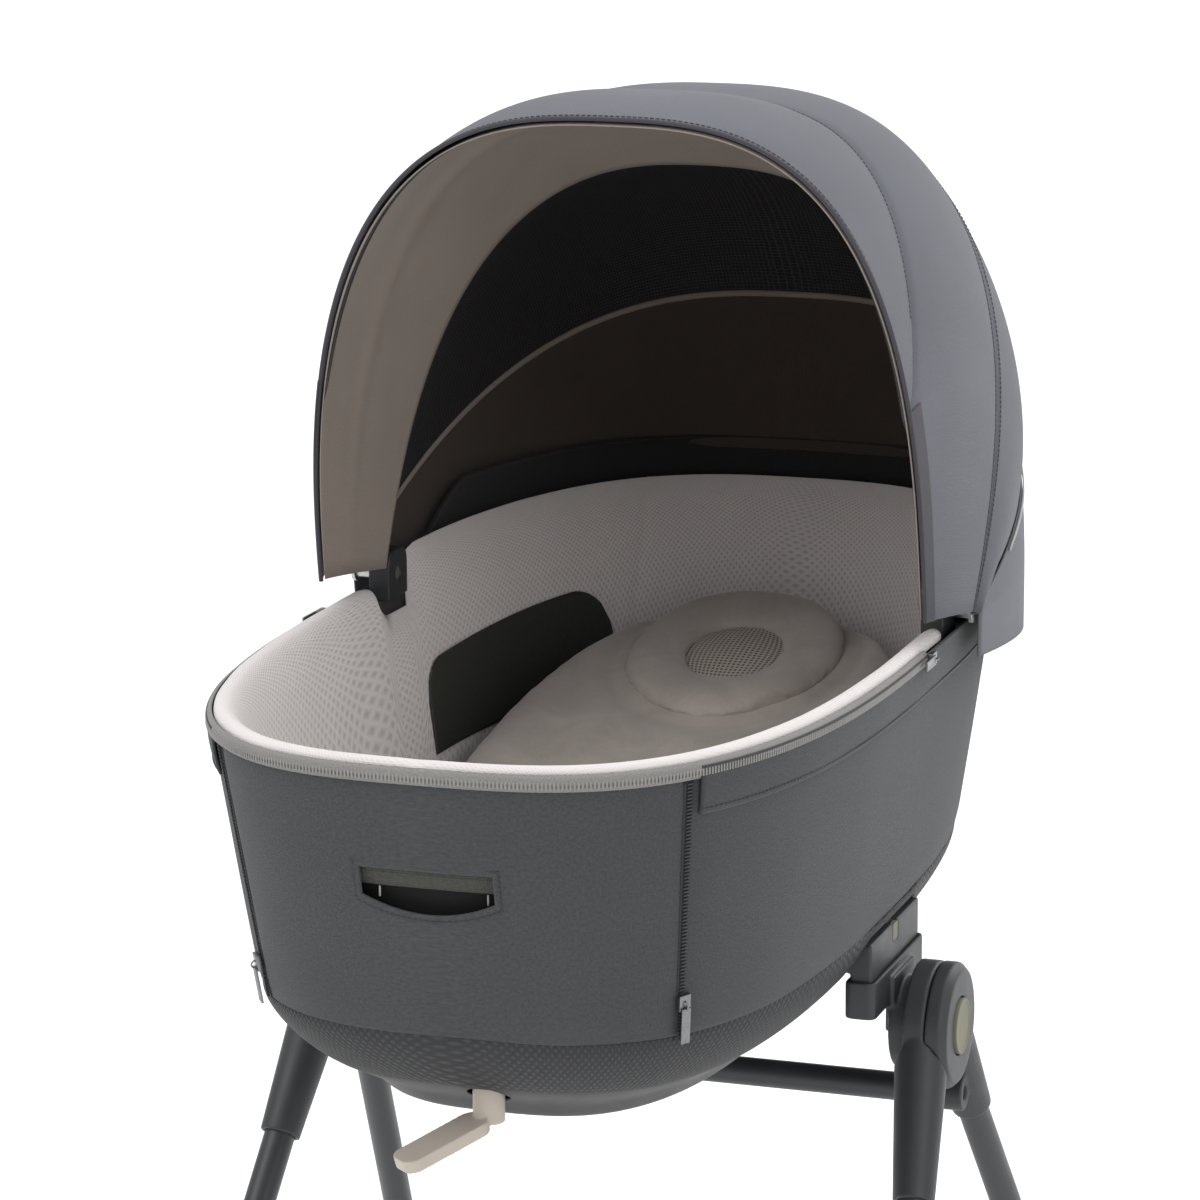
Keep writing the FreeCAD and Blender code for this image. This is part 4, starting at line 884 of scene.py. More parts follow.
for side, sign in (("right", 1), ("left", -1)):
    line = foot_zip_line(sign, 0.0010)
    low = line[8]
    up = (line[40] - line[8]).normalized()
    out = away_from_tub(low)
    out = (out - up * out.dot(up)).normalized()
    zip_pull("foot_zip_pull_" + side, low + up * 0.001, up, out, "foot_zip_slider_" + side,
             gunmetal)
    rim_low, rim_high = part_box("rim_zip_slider_" + side)
    rim_x = rim_low.x if sign > 0 else rim_high.x
    rim_spot = Vector((rim_x, rim_high.y - 0.0065, (rim_low.z + rim_high.z) / 2))
    zip_pull("rim_zip_pull_" + side, rim_spot, Vector((0, 1, 0)), Vector((sign, 0, 0)),
             "rim_zip_slider_" + side, gunmetal, 0.024)

# ------------------------------------------------------------------ liner
# Honeycomb spacer knit, off-white and 2.5 mm thick. It lines the inside, rolls over the rim at
# the foot end, dips round the hood's pivots and stands 2 cm above the rim at the head.

liner_knit, tree, shader = material("honeycomb_spacer_knit")
cloth_map = add(tree, "UVMap")
cell_mm = 4.2
knit_map = add(tree, "Mapping", {"Vector": cloth_map.outputs["UV"]})
knit_map.inputs["Rotation"].default_value = (0, 0, math.radians(52))
rib_a = add(tree, "TexWave", {"Vector": knit_map.outputs["Vector"], "Scale": 314 / cell_mm,
                              "Distortion": 0.5, "Detail": 1.0}, bands_direction="X")
rib_b = add(tree, "TexWave", {"Vector": knit_map.outputs["Vector"], "Scale": 314 / cell_mm,
                              "Distortion": 0.5, "Detail": 1.0}, bands_direction="Y")
cells = add(tree, "Math", {}, operation="MAXIMUM")
tree.links.new(rib_a.outputs["Fac"], cells.inputs[0])
tree.links.new(rib_b.outputs["Fac"], cells.inputs[1])
fluff = add(tree, "TexNoise", {"Vector": place_of(tree), "Scale": 900.0, "Detail": 3.0})
knit_tone = add(tree, "MixRGB", {"Fac": cells.outputs[0], "Color1": colour("#c6bfbd"),
                                 "Color2": colour("#e6e1e0")})
tree.links.new(knit_tone.outputs["Color"], shader.inputs["Base Color"])
shader.inputs["Roughness"].default_value = 0.92
shader.inputs["Sheen Weight"].default_value = 0.25
knit_height = add(tree, "Math", operation="MULTIPLY_ADD")
tree.links.new(fluff.outputs["Fac"], knit_height.inputs[0])
knit_height.inputs[1].default_value = 0.25
tree.links.new(cells.outputs[0], knit_height.inputs[2])
roughen(tree, shader, knit_height.outputs[0], 0.55, 0.0007)

pivot_y, pivot_z = 0.046, 0.810
# Inset and depth of the liner's face, from the bed up: over the rim, under a pivot, at the head.
rolled = ((0.0215, 0.186), (0.0215, 0.120), (0.0212, 0.060), (0.0208, 0.024), (0.0192, 0.006),
          (0.0160, -0.0020), (0.0118, -0.0048), (0.0074, -0.0044), (0.0040, -0.0012),
          (0.0030, 0.0030))
dipped = ((0.0215, 0.186), (0.0215, 0.140), (0.0215, 0.100), (0.0215, 0.065), (0.0214, 0.045),
          (0.0213, 0.033), (0.0211, 0.027), (0.0208, 0.023), (0.0203, 0.020), (0.0196, 0.0185))
raised = ((0.0215, 0.186), (0.0215, 0.130), (0.0212, 0.080), (0.0206, 0.045), (0.0198, 0.022),
          (0.0188, 0.006), (0.0178, -0.006), (0.0170, -0.014), (0.0164, -0.0195),
          (0.0160, -0.0225))


def ease(low, high, value):
    """Rises smoothly from 0 at low to 1 at high."""
    share = min(1.0, max(0.0, (value - low) / (high - low)))
    return share * share * (3 - 2 * share)


def along_profile(profile, v):
    """A smooth curve through a profile's points."""
    at = v * (len(profile) - 1)
    index = min(int(at), len(profile) - 2)
    t = at - index
    ends = [profile[max(0, min(len(profile) - 1, index + step))] for step in (-1, 0, 1, 2)]
    spot = []
    for a, b, c, d in zip(*ends):
        spot.append(0.5 * (2 * b + (c - a) * t + (2 * a - 5 * b + 4 * c - d) * t * t
                           + (3 * b - a - 3 * c + d) * t ** 3))
    return spot


def liner_point(u, v):
    """Liner: u all the way round from the right side, v from the bed up and over the rim."""
    angle = u * 2 * math.pi
    level = on_tub(angle, 0, 0.02)
    under_pivot = 1 - ease(0.020, 0.036, abs(level.y - pivot_y))
    head = ease(pivot_y, pivot_y + 0.055, level.y)
    inset, depth = along_profile(rolled, v)
    high_inset, high_depth = along_profile(raised, v)
    low_inset, low_depth = along_profile(dipped, v)
    inset += (high_inset - inset) * head
    depth += (high_depth - depth) * head
    inset += (low_inset - inset) * under_pivot
    depth += (low_depth - depth) * under_pivot
    spot = on_tub(angle, max(depth, -0.03), inset)
    seam_x = 0.120 if spot.y > hub_y else 0.0
    groove = math.exp(-((abs(spot.x) - seam_x) / 0.0028) ** 2) if abs(spot.y) > 0.2 else 0.0
    soft = 0.0008 * ripple(spot, 0.05, 5) * ease(0.0, 0.3, v)
    out = Vector((math.cos(angle), math.sin(angle), 0))
    return spot + out * (groove * 0.0012 + soft)


liner = cloth_sheet("spacer_knit_liner", 420, 64, (1.95, 0.24), liner_point, closed=True)
liner.data.materials.append(liner_knit)
outward(liner, True)
thicken(liner, 0.0016)
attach(liner, "tub")
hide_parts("liner")

# ------------------------------------------------------------------ vents in the liner
# Charcoal taffeta panels sewn on the inside of the liner: a long one beside the mattress on each
# side, and a small one low at each foot corner.

taffeta = woven("charcoal_taffeta", "#262824", "#33352f", 1.1, 0.05, 0.12, 3.5, 0.55)


def angle_at(y, depth, inset):
    """Angle of the right-hand wall's point at a given y."""
    side, foot, head, foot_power = tub_edges(depth, inset)
    if y >= hub_y:
        return math.asin(((y - hub_y) / (head - hub_y)) ** 1.4)
    return -math.asin(((hub_y - y) / (hub_y - foot)) ** (foot_power / 2))


def wall_patch(name, sign, y_low, y_high, low, top, corner, finish, inset=0.0235):
    """A panel with round upper corners on the liner's face; low and top are heights."""
    def point(u, v):
        y = y_low + u * (y_high - y_low)
        edge = min(y - y_low, y_high - y)
        drop = corner - math.sqrt(max(0.0, corner ** 2 - max(0.0, corner - edge) ** 2))
        upper = top + 0.012 * u - drop
        height = low + v * max(0.002, upper - low)
        spot = on_tub(angle_at(y, rim_z - height, inset), rim_z - height, inset)
        return Vector((spot.x * sign, spot.y, spot.z))
    patch = cloth_sheet(name, 60, 24, (y_high - y_low, top - low), point)
    patch.data.materials.append(finish)
    thicken(outward(patch, sign > 0), 0.0009)
    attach(patch, "tub")
    return patch


for side, sign in (("right", 1), ("left", -1)):
    wall_patch("side_vent_" + side, sign, 0.074, 0.335, 0.664, 0.733, 0.030, taffeta)
    wall_patch("foot_vent_" + side, sign, -0.345, -0.275, 0.655, 0.700, 0.024, taffeta)

# ------------------------------------------------------------------ mattress
# A foam pad in a taupe brushed-jersey cover, flat at the foot and bent up by the backrest. Its
# cover is blown up as cloth from a flat sewn shape, then bent over the bed's hinge.

jersey, tree, shader = material("brushed_taupe_jersey")
nap = add(tree, "TexNoise", {"Vector": place_of(tree), "Scale": 420.0, "Detail": 5.0,
                             "Roughness": 0.7})
crush = add(tree, "TexNoise", {"Vector": place_of(tree), "Scale": 22.0, "Detail": 5.0,
                               "Roughness": 0.6, "Distortion": 0.8})
jersey_fac = add(tree, "Math", {}, operation="MULTIPLY_ADD")
tree.links.new(nap.outputs["Fac"], jersey_fac.inputs[0])
jersey_fac.inputs[1].default_value = 0.35
tree.links.new(crush.outputs["Fac"], jersey_fac.inputs[2])
jersey_tone = add(tree, "MapRange", {"Value": jersey_fac.outputs[0], "From Min": 0.4,
                                     "From Max": 0.95})
jersey_colour = add(tree, "MixRGB", {"Fac": jersey_tone.outputs["Result"],
                                     "Color1": colour("#978e87"), "Color2": colour("#b3aaa3")})
tree.links.new(jersey_colour.outputs["Color"], shader.inputs["Base Color"])
shader.inputs["Roughness"].default_value = 0.95
shader.inputs["Sheen Weight"].default_value = 0.35
shader.inputs["Sheen Roughness"].default_value = 0.6
roughen(tree, shader, nap.outputs["Fac"], 0.4, 0.0004)

hinge_y, hinge_z = -0.026, 0.613
recline = math.radians(14.4)
mattress_low, mattress_high = 0.6165, 0.646


def bend_up(spot):
    """Turns a point of the flat bed up with the backrest, easing over the hinge."""
    angle = recline * ease(hinge_y - 0.030, hinge_y + 0.045, spot.y)
    y, z = spot.y - hinge_y, spot.z - hinge_z
    return Vector((spot.x, hinge_y + y * math.cos(angle) - z * math.sin(angle),
                   hinge_z + y * math.sin(angle) + z * math.cos(angle)))


def plump(pad, voxel, pressure, cap):
    """Stuffs a sewn cover: one skin, blown up as cloth, and no point moved past the cap."""
    deselect()
    pad.select_set(True)
    bpy.context.view_layer.objects.active = pad
    skin = pad.modifiers.new("skin", "REMESH")
    skin.mode = "VOXEL"
    skin.voxel_size = voxel
    bpy.ops.object.modifier_apply(modifier="skin")
    start = [v.co.copy() for v in pad.data.vertices]
    stuffing = pad.modifiers.new("stuffing", "CLOTH")
    stuffing.settings.quality = 4
    stuffing.settings.use_pressure = True
    stuffing.settings.uniform_pressure_force = pressure
    stuffing.settings.effector_weights.gravity = 0
    for step in range(1, 21):
        bpy.context.scene.frame_set(step)
    bpy.ops.object.modifier_apply(modifier="stuffing")
    bpy.context.scene.frame_set(1)
    for vertex, was in zip(pad.data.vertices, start):
        moved = vertex.co - was
        if moved.length > cap:
            vertex.co = was + moved * (cap / moved.length)
    soften = pad.modifiers.new("soft", "SMOOTH")
    soften.factor = 0.5
    soften.iterations = 3
    bpy.ops.object.modifier_apply(modifier="soft")
    for face in pad.data.polygons:
        face.use_smooth = True


def smoother(pad):
    """One subdivision, so that the cover's curves show no facets."""
    deselect()
    pad.select_set(True)
    bpy.context.view_layer.objects.active = pad
    finer = pad.modifiers.new("finer", "SUBSURF")
    finer.levels = finer.render_levels = 1
    bpy.ops.object.modifier_apply(modifier="finer")


deselect()
bpy.ops.mesh.primitive_cylinder_add(vertices=160, radius=1, depth=1)
mattress = bpy.context.object
mattress.name = "mattress"
for vertex in mattress.data.vertices:
    angle = math.atan2(vertex.co.y, vertex.co.x)
    rim_spot = on_tub(angle, 0.184, 0.0345)
    vertex.co = (rim_spot.x, rim_spot.y,
                 mattress_low + 0.002 if vertex.co.z < 0 else mattress_high - 0.004)
edge = mattress.modifiers.new("edge", "BEVEL")
edge.width = 0.007
edge.segments = 3
edge.limit_method = "ANGLE"
bpy.ops.object.modifier_apply(modifier="edge")
plump(mattress, 0.0055, 4.0, 0.006)
ring_y = 0.259
for vertex in mattress.data.vertices:
    spot = vertex.co
    if spot.z > 0.63:
        around = math.hypot(spot.x / 0.097, (spot.y - ring_y) / 0.117)
        spot.z -= 0.0035 * math.exp(-((around - 1) / 0.07) ** 2)
        spot.z += 0.0012 * ripple(spot, 0.11, 21)
    if spot.z < mattress_low:
        spot.z = mattress_low
    vertex.co = bend_up(spot)
smoother(mattress)
mattress.data.materials.append(jersey)
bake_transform(mattress)
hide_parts("mattress_foot", "mattress_head")

# ------------------------------------------------------------------ ring pillow
# A flat oval ring of the same jersey on the mattress, with a patch of open mesh in its middle
# that lets air through under the child's head.

pillow_z = 0.646
deselect()
bpy.ops.mesh.primitive_torus_add(major_segments=120, minor_segments=28, major_radius=1.0,
                                 minor_radius=0.3)
pillow_ring = bpy.context.object
pillow_ring.name = "ring_pillow_cover"
for vertex in pillow_ring.data.vertices:
    angle = math.atan2(vertex.co.y, vertex.co.x)
    across = (math.hypot(vertex.co.x, vertex.co.y) - 1.0) / 0.3
    share = 0.5 + 0.5 * across
    half_x = 0.036 + (0.086 - 0.036) * share
    half_y = 0.044 + (0.106 - 0.044) * share
    height = max(0.0, vertex.co.z / 0.3)
    vertex.co = (half_x * math.cos(angle), ring_y + half_y * math.sin(angle),
                 pillow_z - 0.0015 + 0.0125 * height ** 0.8)
plump(pillow_ring, 0.0035, 4.0, 0.004)
for vertex in pillow_ring.data.vertices:
    spot = vertex.co
    spot.z = max(spot.z, pillow_z - 0.001) + 0.0006 * ripple(spot, 0.035, 31)
    vertex.co = bend_up(spot)
smoother(pillow_ring)
pillow_ring.data.materials.append(jersey)
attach(pillow_ring, "backrest")
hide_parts("ring_pillow")

# Polyester mesh with round holes at a 4 mm pitch, pale taupe.
air_mesh, tree, shader = material("open_polyester_mesh")
cloth_map = add(tree, "UVMap")
holes = add(tree, "TexVoronoi", {"Vector": cloth_map.outputs["UV"], "Scale": 250.0,
                                 "Randomness": 0.0})
hole_edge = add(tree, "MapRange", {"Value": holes.outputs["Distance"], "From Min": 0.20,
                                   "From Max": 0.42})
hole_tone = add(tree, "MixRGB", {"Fac": hole_edge.outputs["Result"],
                                 "Color1": colour("#6f6760"), "Color2": colour("#c2bab2")})
tree.links.new(hole_tone.outputs["Color"], shader.inputs["Base Color"])
shader.inputs["Roughness"].default_value = 0.85
roughen(tree, shader, hole_edge.outputs["Result"], 0.8, 0.0008)


def mesh_patch_point(u, v):
    """Mesh patch: a shallow dome in the ring's hole, u and v across and along it."""
    x, y = 2 * u - 1, 2 * v - 1
    disc_x = x * math.sqrt(max(0.0, 1 - y * y / 2))
    disc_y = y * math.sqrt(max(0.0, 1 - x * x / 2))
    edge = disc_x ** 2 + disc_y ** 2
    return bend_up(Vector((0.042 * disc_x, ring_y + 0.050 * disc_y,
                           pillow_z + 0.0016 + 0.0045 * (1 - edge))))


mesh_patch = cloth_sheet("pillow_mesh_patch", 28, 28, (0.084, 0.1), mesh_patch_point)
mesh_patch.data.materials.append(air_mesh)
thicken(mesh_patch, 0.0012)
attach(mesh_patch, "backrest")

# ------------------------------------------------------------------ hood fabric
# Three nested fields of blue-grey woven shell, gathered on their bows: a visor, a middle panel
# and a rear panel with a skirt over the rim. Every seam is an arch in a plane through the pivots.

hood_cloth = woven("blue_grey_woven_hood_shell", "#4f5159", "#5e6068", 1.2, 0.10, 0.22, 1.6)
hood_strip_cloth = woven("charcoal_hood_edge_strip", "#36343a", "#434148", 1.2, 0.08, 0.22, 1.6)
hood_thread = moulded("grey_hood_thread", "#4a4c52", "#5c5e65", 0.7, 0.8, 0.5, 0.05)
arch_y, arch_z = 0.016, 0.810
tip_height = 0.46
front_power = 2.87


def arch_point(angle, half, radius, power, tilt, forward=0.0):
    """A point of an arch: angle runs over it from the right foot to the left one."""
    c, s = math.cos(angle), math.sin(angle)
    up = radius * abs(s) ** (2 / power)
    lean = math.radians(tilt)
    return Vector((half * math.copysign(abs(c) ** (2 / power), c),
                   arch_y + up * math.sin(lean) - forward, arch_z + up * math.cos(lean)))


# Half width, radius, squareness and tilt of each seam's arch.
lip_arch = (0.2285, 0.371, 2.84, -13.3)
visor_seam = (0.2165, 0.369, 2.91, 15.2)
middle_seam = (0.2460, 0.433, 2.45, 40.9)
back_arch = (0.2430, 0.449, 2.55, 77.0)
skirt_arch = (0.2400, 0.4545, 2.75, 97.0)


def mixed_arch(first, second, share):
    """An arch part of the way from one to another."""
    return [a + (b - a) * share for a, b in zip(first, second)]


def front_forward(share_up):
    """How far the hood's front edge runs ahead of its arch plane, more towards the feet."""
    return 0.063 * (1 - share_up ** 1.5)


def seam_share(share_up):
    """How far the visor's rear seam has parted from its front edge, from its tips upward."""
    return max(0.0, (share_up - tip_height) / (1 - tip_height)) ** 0.6


def visor_point(angle, v, lift=0.0):
    """Visor: from the front edge (v 0) to its rear seam, coming to a point at each side."""
    share_up = abs(math.sin(angle)) ** (2 / front_power)
    arch = mixed_arch(lip_arch, visor_seam, v * seam_share(share_up))
    crown = 0.001 * math.sin(math.pi * v) * seam_share(share_up)
    return arch_point(angle, arch[0] + crown + lift, arch[1] + crown + lift, arch[2], arch[3],
                      front_forward(share_up) * (1 - v * seam_share(share_up)))


def middle_point(angle, v, lift=0.0):
    """Middle panel: from the visor's seam, or the front edge below its tips, to the next seam."""
    share_up = abs(math.sin(angle)) ** (2 / front_power)
    parted = seam_share(share_up)
    start = mixed_arch(lip_arch, visor_seam, parted)
    arch = mixed_arch(start, middle_seam, v)
    tuck = 0.0022 * (math.exp(-(v / 0.035) ** 2) * min(1.0, parted * 4)
                     + math.exp(-((1 - v) / 0.03) ** 2))
    bulge = 0.003 * math.sin(math.pi * v) - tuck
    return arch_point(angle, arch[0] + bulge + lift, arch[1] + bulge + lift, arch[2], arch[3],
                      front_forward(share_up) * (1 - parted) * (1 - v))


def rear_point(angle, v, lift=0.0):
    """Rear panel: from the middle seam over the back to the zip."""
    arch = mixed_arch(middle_seam, back_arch, v)
    spot = arch_point(angle, arch[0], arch[1], arch[2], arch[3])
    tuck = 0.0030 * math.exp(-(v / 0.02) ** 2)
    bulge = 0.007 * math.sin(math.pi * v) - tuck + 0.0012 * ripple(spot, 0.16, 61)
    return arch_point(angle, arch[0] + bulge + lift, arch[1] + bulge + lift, arch[2], arch[3])


def skirt_point(angle, v, lift=0.0):
    """Skirt: from the zip down outside the rim, to a hem that rises towards the front."""
    arch = mixed_arch(back_arch, skirt_arch, min(1.0, v * 1.25))
    over = 0.0022 + lift
    spot = arch_point(angle, arch[0] + over, arch[1] + over, arch[2], arch[3])
    spot.z -= 0.030 * max(0.0, v - 0.6) / 0.4
    return spot


def hood_field(name, place, across, along, size, thickness, finish, foot=0.008):
    """A panel of the hood over both sides, u over the arch and v from front to back."""
    start = math.asin(foot)
    sheet = cloth_sheet(name, across, along, size,
                        lambda u, v: place(start + (math.pi - 2 * start) * u, v))
    sheet.data.materials.append(finish)
    thicken(outward(sheet, True), thickness)
    return sheet


def seam_plane_blend(sheet, reach):
    """Bakes a panel's placement into its mesh; the reach, the length of the band, is not used."""
    if reach < 0:
        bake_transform(sheet)
    else:
        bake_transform(sheet)


visor = hood_field("hood_visor", visor_point, 200, 40, (1.0, 0.17), 0.0012, hood_cloth, 0.33)
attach(visor, "hood_front")
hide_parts("hood_front")
middle_panel = hood_field("hood_middle_panel", middle_point, 220, 56, (1.1, 0.26), 0.0012,
                          hood_cloth)
seam_plane_blend(middle_panel, -0.075)
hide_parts("hood_middle")
rear_panel = hood_field("hood_rear_panel", rear_point, 220, 64, (1.15, 0.29), 0.0012, hood_cloth)
seam_plane_blend(rear_panel, 0.25)
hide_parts("hood_rear")
skirt = hood_field("hood_rear_skirt", skirt_point, 220, 30, (1.15, 0.19), 0.0012, hood_cloth,
                   0.03)
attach(skirt, "tub")


def strip_point(side):
    """Edge strip on one side, from the foot of the hood up to the visor's tip."""
    def point(u, v):
        angle = 0.008 + u * 0.325
        spot = middle_point(angle, -0.012 + 0.135 * v * (1 - 0.25 * u), 0.0016)
        return Vector((spot.x * side, spot.y, spot.z))
    return point


for side, sign in (("right", 1), ("left", -1)):
    strip = cloth_sheet("hood_edge_strip_" + side, 60, 12, (0.17, 0.022), strip_point(sign))
    strip.data.materials.append(hood_strip_cloth)
    thicken(outward(strip, sign > 0), 0.0014)
    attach(strip, "hood_front")


def arch_line(place, v, first, last, lift, steps=200):
    """A line over the hood at one v, between two places along the arch."""
    return [place(first + (last - first) * step / steps, v, lift) for step in range(steps + 1)]


def away_from_pivots(spot):
    """Outward way of the hood at a point, near enough for thread."""
    return Vector((spot.x * 1.2, spot.y - arch_y, spot.z - arch_z)).normalized()


for name, place, v, body, low in (("visor_lip", visor_point, 0.03, "hood_front", 0.45),
                                  ("visor_seam", visor_point, 0.965, "hood_front", 0.50),
                                  ("middle_seam", middle_point, 0.955, "hood_middle", 0.02),
                                  ("rear_seam", rear_point, 0.035, "hood_middle", 0.02)):
    stitch_row("hood_" + name + "_stitches",
               arch_line(place, v, low, math.pi - low, 0.0006), away_from_pivots, body, 0.0042,
               hood_thread)

# ------------------------------------------------------------------ hood binding and bows
# A charcoal binding tape folded over the front edge and the side hems, and two spring-steel bows
# in sewn channels just inside the fabric.


def rolled_edge(name, path, radius, out_at, finish, body):
    """A thin tube of cloth along an edge."""
    deselect()
    sides = 8
    points, faces = [], []
    for index, spot in enumerate(path):
        ahead = (path[min(index + 1, len(path) - 1)] - path[max(index - 1, 0)]).normalized()
        out = out_at(spot)
        out = (out - ahead * out.dot(ahead)).normalized()
        side = ahead.cross(out)
        for step in range(sides):
            turn = 2 * math.pi * step / sides
            points.append(spot + out * radius * math.cos(turn) + side * radius * math.sin(turn))
        if index:
            for step in range(sides):
                a = (index - 1) * sides + step
                b = (index - 1) * sides + (step + 1) % sides
                faces.append([a, b, b + sides, a + sides])
    faces.append(list(range(sides))[::-1])
    faces.append([len(points) - sides + step for step in range(sides)])
    mesh = bpy.data.meshes.new(name)
    mesh.from_pydata(points, [], faces)
    edge = bpy.data.objects.new(name, mesh)
    bpy.context.scene.collection.objects.link(edge)
    for face in edge.data.polygons:
        face.use_smooth = True
    edge.data.materials.append(finish)
    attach(edge, body)
    return edge


low = 0.008
rolled_edge("hood_front_binding", arch_line(visor_point, 0.0, low, math.pi - low, 0.0), 0.0017,
            away_from_pivots, hood_strip_cloth, "hood_front")
spring_steel = moulded("sleeved_spring_steel", "#1d1e20", "#2a2b2e", 0.5, 0.6, 0.8, 0.06)
for name, place, v, node in (("front_bow_sleeve", visor_point, 0.05, "front_bow"),
                             ("middle_bow_sleeve", middle_point, 0.98, "middle_bow")):
    body = "hood_front" if node == "front_bow" else "hood_middle"
    bow = cloth_sheet(name, 160, 3, (1.0, 0.01),
                      lambda u, v2, place=place, v=v: place(low + (math.pi - 2 * low) * u,
                                                            v - 0.02 + 0.04 * v2, -0.0040))
    bow.data.materials.append(spring_steel)
    thicken(outward(bow, True), 0.0022)
    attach(bow, body)
    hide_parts(node)

# ------------------------------------------------------------------ hood zip
# The rear panel's zip: a light grey strip over the back, with a slider low on each side.

zip_pale = woven("pale_grey_zip_tape", "#8f8f90", "#a9a9a9", 1.3, 0.05, 0.25, 1.4, 0.8)


def hood_zip_point(u, v):
    """Zip tape where the rear panel meets the skirt."""
    angle = 0.20 + (math.pi - 0.40) * u
    return skirt_point(angle, 0.015 + 0.05 * v, 0.0016)


hood_zip = cloth_sheet("hood_zip_tape_strip", 200, 4, (1.1, 0.009), hood_zip_point)
hood_zip.data.materials.append(zip_pale)
thicken(outward(hood_zip, True), 0.0011)
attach(hood_zip, "tub")
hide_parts("hood_zip_tape")
for side, sign in (("right", 1), ("left", -1)):
    low_box, high_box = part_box("hood_zip_slider_" + side)
    middle = (low_box + high_box) / 2
    tilt = math.radians(77)
    up = Vector((0, math.sin(tilt), math.cos(tilt)))
    out = Vector((sign, 0, 0))
    spot = Vector((low_box.x if sign > 0 else high_box.x, middle.y, middle.z))
    zip_pull("hood_zip_pull_" + side, spot, up, out, "hood_zip_slider_" + side, gunmetal)

# ------------------------------------------------------------------ hood lining
# Inside the hood: a taupe lining to the front, an open black mesh window over the back with a
# bound edge, a dark lining behind it, and a padded band above the liner.

lining_cloth = woven("taupe_lining_cloth", "#857b73", "#958b82", 1.1, 0.08, 0.16, 1.6)
rear_lining_cloth = woven("dark_taupe_rear_lining", "#38302b", "#453b35", 1.1, 0.06, 0.16, 1.6)
dark_band_cloth = woven("near_black_band_cloth", "#17161a", "#232127", 1.3, 0.08, 0.3, 1.8)
binding_tape = woven("taupe_binding_tape", "#7f756d", "#938981", 1.0, 0.05, 0.2, 1.3)

# Black polyester net with six-sided holes at a 3 mm pitch, over a dark backing.
hood_net, tree, shader = material("black_hexagonal_net")
cloth_map = add(tree, "UVMap")
net_cells = add(tree, "TexVoronoi", {"Vector": cloth_map.outputs["UV"], "Scale": 300.0,
                                     "Randomness": 0.25}, feature="DISTANCE_TO_EDGE")
net_edge = add(tree, "MapRange", {"Value": net_cells.outputs["Distance"], "From Min": 0.05,
                                  "From Max": 0.16})
net_tone = add(tree, "MixRGB", {"Fac": net_edge.outputs["Result"], "Color1": colour("#3c3b40"),
                                "Color2": colour("#0c0c0e")})
tree.links.new(net_tone.outputs["Color"], shader.inputs["Base Color"])
shader.inputs["Roughness"].default_value = 0.7
net_height = add(tree, "Math", {"Value": net_edge.outputs["Result"]}, operation="MULTIPLY")
net_height.inputs[1].default_value = -1.0
roughen(tree, shader, net_height.outputs[0], 0.7, 0.0006)

front_inner = (0.2255, 0.3665, 2.84, -13.3)
window_top = (0.205, 0.330, 2.60, 23.5)
window_foot = (0.236, 0.420, 2.65, 66.5)
inner_back = (0.2370, 0.437, 2.72, 92.0)


def lining_point(angle, v):
    """Taupe lining: from the front edge to the top of the window."""
    share_up = abs(math.sin(angle)) ** (2 / front_power)
    arch = mixed_arch(front_inner, window_top, v)
    drape = 0.007 * math.sin(math.pi * v) * share_up
    crease = 0.0035 * math.exp(-((v - 0.42) / 0.06) ** 2) * share_up
    return arch_point(angle, arch[0] + drape - crease, arch[1] + drape - crease, arch[2],
                      arch[3], front_forward(share_up) * (1 - v))


def window_point(angle, v):
    """Mesh window: from the lining to the binding over the back."""
    arch = mixed_arch(window_top, window_foot, v)
    bulge = 0.010 * math.sin(math.pi * v)
    return arch_point(angle, arch[0] + bulge * 0.4, arch[1] + bulge, arch[2], arch[3])


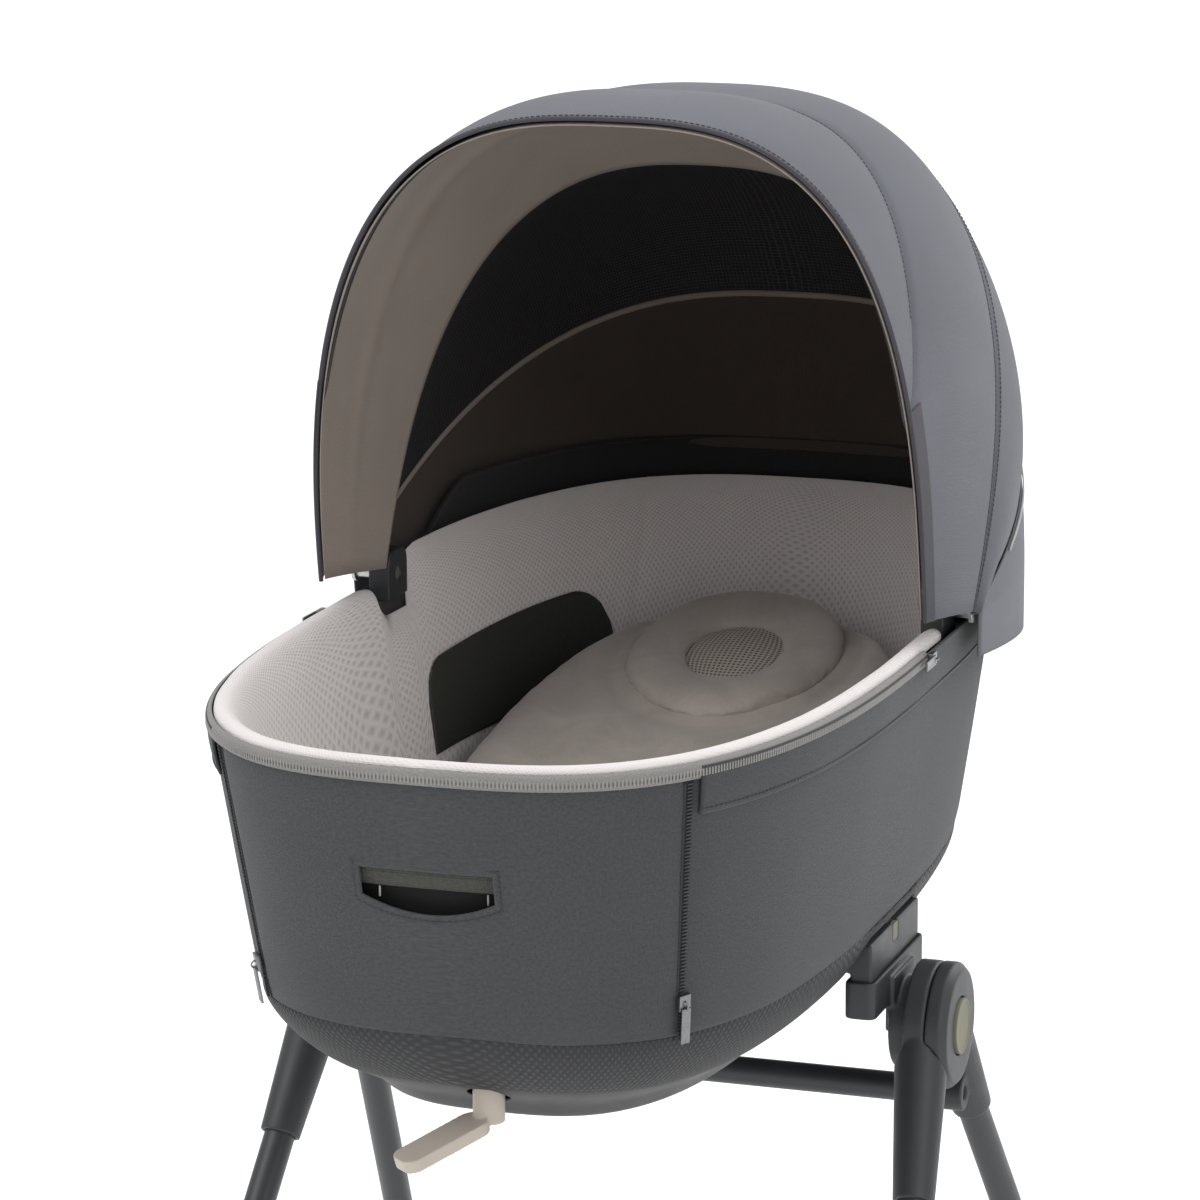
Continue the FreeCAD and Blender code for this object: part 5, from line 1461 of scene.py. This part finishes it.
def rear_lining_point(angle, v):
    """Dark lining: from the binding down to the rim."""
    arch = mixed_arch(window_foot, inner_back, v)
    return arch_point(angle, arch[0] - 0.001, arch[1] - 0.001, arch[2], arch[3])


hood_lining = hood_field("hood_front_lining", lining_point, 180, 36, (1.0, 0.24), 0.0010,
                         lining_cloth, 0.010)
seam_plane_blend(hood_lining, -0.09)
window = hood_field("hood_mesh_window", window_point, 180, 40, (1.0, 0.28), 0.0010, hood_net,
                    0.06)
seam_plane_blend(window, 0.22)
rear_lining = hood_field("hood_rear_lining", rear_lining_point, 180, 24, (1.0, 0.19), 0.0010,
                         rear_lining_cloth, 0.06)
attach(rear_lining, "tub")
rolled_edge("window_binding",
            [window_point(0.06 + (math.pi - 0.12) * step / 200, 1.0) - Vector((0, 0.001, 0))
             for step in range(201)],
            0.0030, away_from_pivots, binding_tape, "tub")


def padded_band_point(u, v):
    """Padded band: stands on the liner's back edge, outside it, inside the hood."""
    angle = math.radians(7) + math.radians(166) * u
    end = min(u, 1 - u)
    height = 0.050 * ease(0.0, 0.10, end)
    around = v * math.pi
    inset = 0.0105 - 0.0060 * math.sin(around) * ease(0.0, 0.05, end)
    level = -0.001 - height * (0.5 - 0.5 * math.cos(around))
    return on_tub(angle, level, inset)


padded_band = cloth_sheet("hood_padded_band", 180, 16, (1.15, 0.09), padded_band_point)
padded_band.data.materials.append(dark_band_cloth)
thicken(outward(padded_band, True), 0.0022)
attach(padded_band, "tub")

# ------------------------------------------------------------------ hood pivots
# Black nylon blocks on the rim frame carry the hood's pins; the pins' heads are plated steel.

for side in ("right", "left"):
    softened("pivot_block_soft_" + side, ["pivot_block_" + side], "tub", nylon,
             0.0010, 4)
dress(["hood_pins"], plated_steel)

# ------------------------------------------------------------------ recline lever
# A zinc paddle with its root cast in one, painted champagne all over; its edges are rounded as
# a mould leaves them.

champagne = moulded("champagne_painted_zinc", "#a89e92", "#bab0a5", 0.3, 0.42, 0.6, 0.03)
softened("recline_lever_paddle", ["recline_lever"], "lever", champagne,
         0.0008, 3)

# ------------------------------------------------------------------ final scene update

bpy.context.view_layer.update()
